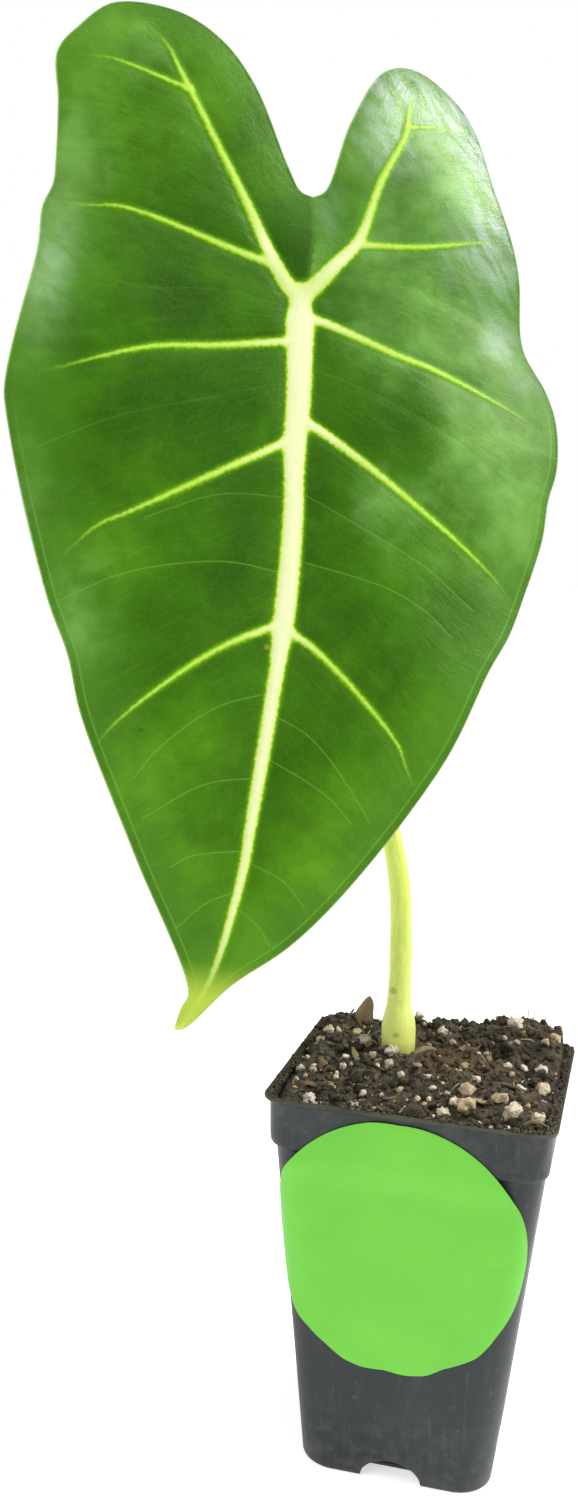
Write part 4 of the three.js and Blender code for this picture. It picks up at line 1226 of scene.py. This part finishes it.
def turned(points, tilt=math.pi):
    """The points turned at random, by no more than the tilt out of the level."""
    spin = Matrix.Rotation(random.uniform(0, 2 * math.pi), 3, "Z")
    lean = [Matrix.Rotation(random.uniform(-tilt, tilt), 3, axis) for axis in "XY"]
    return points @ np.array(spin @ (lean[0] @ lean[1])).T


def lump(shape, across, rough, stretch):
    """An uneven lump of the given shape."""
    points, faces = shape
    shift = random.uniform(-50, 50, 3)
    sizes = []
    for p in points:
        broad, fine = (noise.noise(Vector(p * often + shift)) for often in (1.7, 4))
        sizes.append(1 + rough * broad + rough * 0.4 * fine)
    return points * np.array(sizes)[:, None] * across / 2 * np.array(stretch), faces


def free_spot(reach):
    """A random place on the soil, clear of the stalk."""
    while True:
        x, y = random.uniform(-reach, reach, 2)
        if math.hypot(x - STALK_ROUTE[1][0], y - STALK_ROUTE[1][1]) > STALK_CLEAR:
            return x, y


def sit(points, x, y, sunk):
    """Lays a lump on the soil, sunk in by a share of its height, and keeps it inside the wall."""
    points = points + [x, y, height_at(x, y) - points[:, 2].min() - sunk * np.ptp(points[:, 2])]
    over = np.abs(points[:, :2]).max(0) - SOWN_HALF
    for axis, place_on in enumerate((x, y)):
        if over[axis] > 0 and points[:, 2].min() < TOP[2]:
            points[:, axis] -= math.copysign(over[axis], place_on)
    return points


def sow_crumbs(small, middle, large):
    crumbs = Merged()
    # How many, of which ball, from how small to how large, and how uneven
    for count, shape, low, high, rough in ((60, large, 2.4, 5.0, 0.75), (420, middle, 1.2, 2.6, 0.8),
                                           (1300, small, 0.5, 1.3, 0.7)):
        for _ in tries(count):
            across = low + (high - low) * random.random() ** 2
            stretch = (1, random.uniform(0.6, 1), random.uniform(0.5, 0.85))
            points, faces = lump(shape, across, rough, stretch)
            x, y = free_spot(SOWN_HALF - across / 2)
            if across > 2 and x < -8 and y > 14:
                continue
            sunk = random.uniform(0.2, 0.5) + 0.15 * (across > 2.2)
            crumbs.add(sit(turned(points, 0.7), x, y, sunk), faces, random.random() ** 2)
    # Crumbs that lie on the rim: nearly all of it at the left and the back, less at the front
    straight = LIP[0] - LIP[1]
    for _ in tries(1500):
        side, run = random.integers(0, 4), random.uniform(-28.6, 28.6)
        if side == 3 and random.random() > 0.15 + 0.5 * (run > 2):
            continue
        out = random.uniform(27.0, 28.8)
        x, y = [(-out, run), (run, out), (out, run), (run, -out)][side]
        if math.hypot(max(abs(x) - straight, 0), max(abs(y) - straight, 0)) > 4.6:
            continue
        points, faces = lump(small, random.uniform(0.35, 1.1), 0.7, (1, 0.85, 0.6))
        points = turned(points, 0.7)
        lowest = points[:, 2].min() + 0.3 * np.ptp(points[:, 2])
        crumbs.add(points + [x, y, TOP[2] - lowest], faces, random.random() ** 2)
    return crumbs


def sow_grains(small, middle, large):
    grains = Merged()
    for x, y, across in GRAINS:
        stretch = (1, random.uniform(0.72, 1), random.uniform(0.7, 0.95))
        points, faces = lump(large if across > 1.9 else middle, across * 1.08, 0.55, stretch)
        grains.add(sit(turned(points, 0.6), x, y, 0.28), faces, random.uniform(0.2, 1))
    for _ in tries(210):
        across = 0.5 + 1.2 * random.random() ** 2
        points, faces = lump(middle if across > 1 else small, across, 0.5, (1, 0.85, 0.8))
        x, y = free_spot(SOWN_HALF - across / 2)
        grains.add(sit(turned(points), x, y, 0.35), faces, random.uniform(0, 0.9))
    return grains


def sow_bark():
    bark = Merged()
    for _ in tries(44):
        length, width = random.uniform(2.5, 7), random.uniform(0.7, 2.0)
        bend = random.uniform(-0.25, 0.25)
        rings = []
        for share in np.linspace(-0.5, 0.5, 9):
            narrow = 1 - 0.55 * abs(2 * share) ** 3 + 0.12 * random.uniform(-1, 1)
            half, thick = width / 2 * narrow, width * 0.2 * narrow
            lift = bend * length * 4 * share * share
            rings.append([[share * length, half * y, lift + thick * z] for y, z in CHIP_SECTION])
        points, faces = loft(rings)
        x, y = free_spot(24.5)
        faces = [face[::-1] for face in faces]
        bark.add(sit(turned(np.array(points), 0.35), x, y, 0.3), faces, random.random())
    # The pointed chip that stands up behind the stalk
    rings = []
    for share in np.linspace(0, 1, 15):
        half = 2.2 * (1 - share**2.2) ** 0.7 + 0.3
        thick = 0.95 * (1 - 0.55 * share)
        middle = STANDING_CHIP + [0.9 * share**2 + 0.18 * math.sin(9 * share), 0, 8.9 * share]
        rings.append([middle + [half * x, thick * y, 0] for x, y in STANDING_SECTION])
    bark.add(*loft(rings), 0.9)
    return bark


def sow_fibres():
    fibres = Merged()
    for _ in tries(70):
        x, y = free_spot(24)
        length, half = random.uniform(3, 10), random.uniform(0.06, 0.13)
        way = random.uniform(0, 2 * math.pi)
        ground, arch = height_at(x, y) - 0.9, random.uniform(0.6, 2.4)
        route = []
        for s in (-0.5, -0.2, 0.15, 0.5):
            flat = [x + length * s * math.cos(way) + 0.8 * random.uniform(-1, 1),
                    y + length * s * math.sin(way) + 0.8 * random.uniform(-1, 1)]
            route.append([*np.clip(flat, -FIBRE_HALF, FIBRE_HALF), ground + arch * (1 - 4 * s * s)])
        fibres.add(*tube(curve(route, 0.7), lambda i, turn, half=half: half, 5), random.random())
    for route, tone in STANDING_FIBRES:
        line = curve(route, 0.5)
        fibres.add(*tube(line, lambda i, turn, n=len(line): 0.17 * (1 - 0.7 * i / n), 6), tone)
    return fibres


def soil():
    mix = soil_mix()
    soil_body(mix)
    balls = [ball(divisions) for divisions in (1, 2, 3)]
    place(sow_crumbs(*balls).piece("soil_crumbs", [mix]), "soil", "potting_mix")
    place(sow_grains(*balls).piece("perlite", [grain_finish()]), "soil", "potting_mix")
    chips = sow_bark().piece("bark_chips", [bark_finish()])
    mark_sharp(chips, 35)
    place(chips, "soil", "potting_mix")
    place(sow_fibres().piece("fibres", [fibre_finish()]), "soil", "potting_mix")


# The studio


def linked(name, data):
    """A new object in the scene that shows the data."""
    made = bpy.data.objects.new(name, data)
    bpy.context.scene.collection.objects.link(made)
    return made


def floor():
    shape = bmesh.new()
    bmesh.ops.create_circle(shape, cap_ends=True, segments=96, radius=FLOOR_RADIUS)
    mesh = bpy.data.meshes.new("floor")
    shape.to_mesh(mesh)
    shape.free()
    mesh.materials.append(floor_finish())
    linked("floor", mesh)


def sky():
    """White where the camera looks at it, and only a weak light for everything else."""
    world = bpy.data.worlds.new("studio")
    world.use_nodes = True
    bpy.context.scene.world = world
    nodes, links = world.node_tree.nodes, world.node_tree.links
    nodes.clear()
    kinds = ("LightPath", "Background", "Background", "MixShader", "OutputWorld")
    seen, lit, shown, mix, out = (nodes.new("ShaderNode" + kind) for kind in kinds)
    for background, strength in ((lit, SKY_LIGHT), (shown, 1)):
        background.inputs[0].default_value = (1, 1, 1, 1)
        background.inputs[1].default_value = strength
    links.new(seen.outputs["Is Camera Ray"], mix.inputs[0])
    links.new(lit.outputs[0], mix.inputs[1])
    links.new(shown.outputs[0], mix.inputs[2])
    links.new(mix.outputs[0], out.inputs[0])


def lamps():
    for name, way, wide, strength in LAMPS:
        lamp = bpy.data.lights.new(name, "SUN")
        lamp.angle = math.radians(wide)
        lamp.energy = strength
        linked(name, lamp).rotation_euler = (-Vector(way)).to_track_quat("-Z", "Y").to_euler()


def camera():
    lens = bpy.data.cameras.new("camera")
    lens.sensor_width = lens.lens = CAMERA_LENS
    lens.clip_start, lens.clip_end = 0.02, 50
    turn = Matrix.Identity(4)
    for degrees, axis in CAMERA_TURNS:
        turn = turn @ Matrix.Rotation(math.radians(degrees), 4, axis)
    made = linked("camera", lens)
    made.matrix_world = Matrix.Translation(Vector(CAMERA_PLACE) * MM) @ turn
    bpy.context.scene.camera = made
    bpy.context.scene.view_settings.view_transform = "Standard"


leaf()
stalk()
pot()
label()
soil()
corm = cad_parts["corm_and_roots"]
corm.data.materials.clear()
corm.data.materials.append(corm_flesh())
floor()
sky()
lamps()
camera()
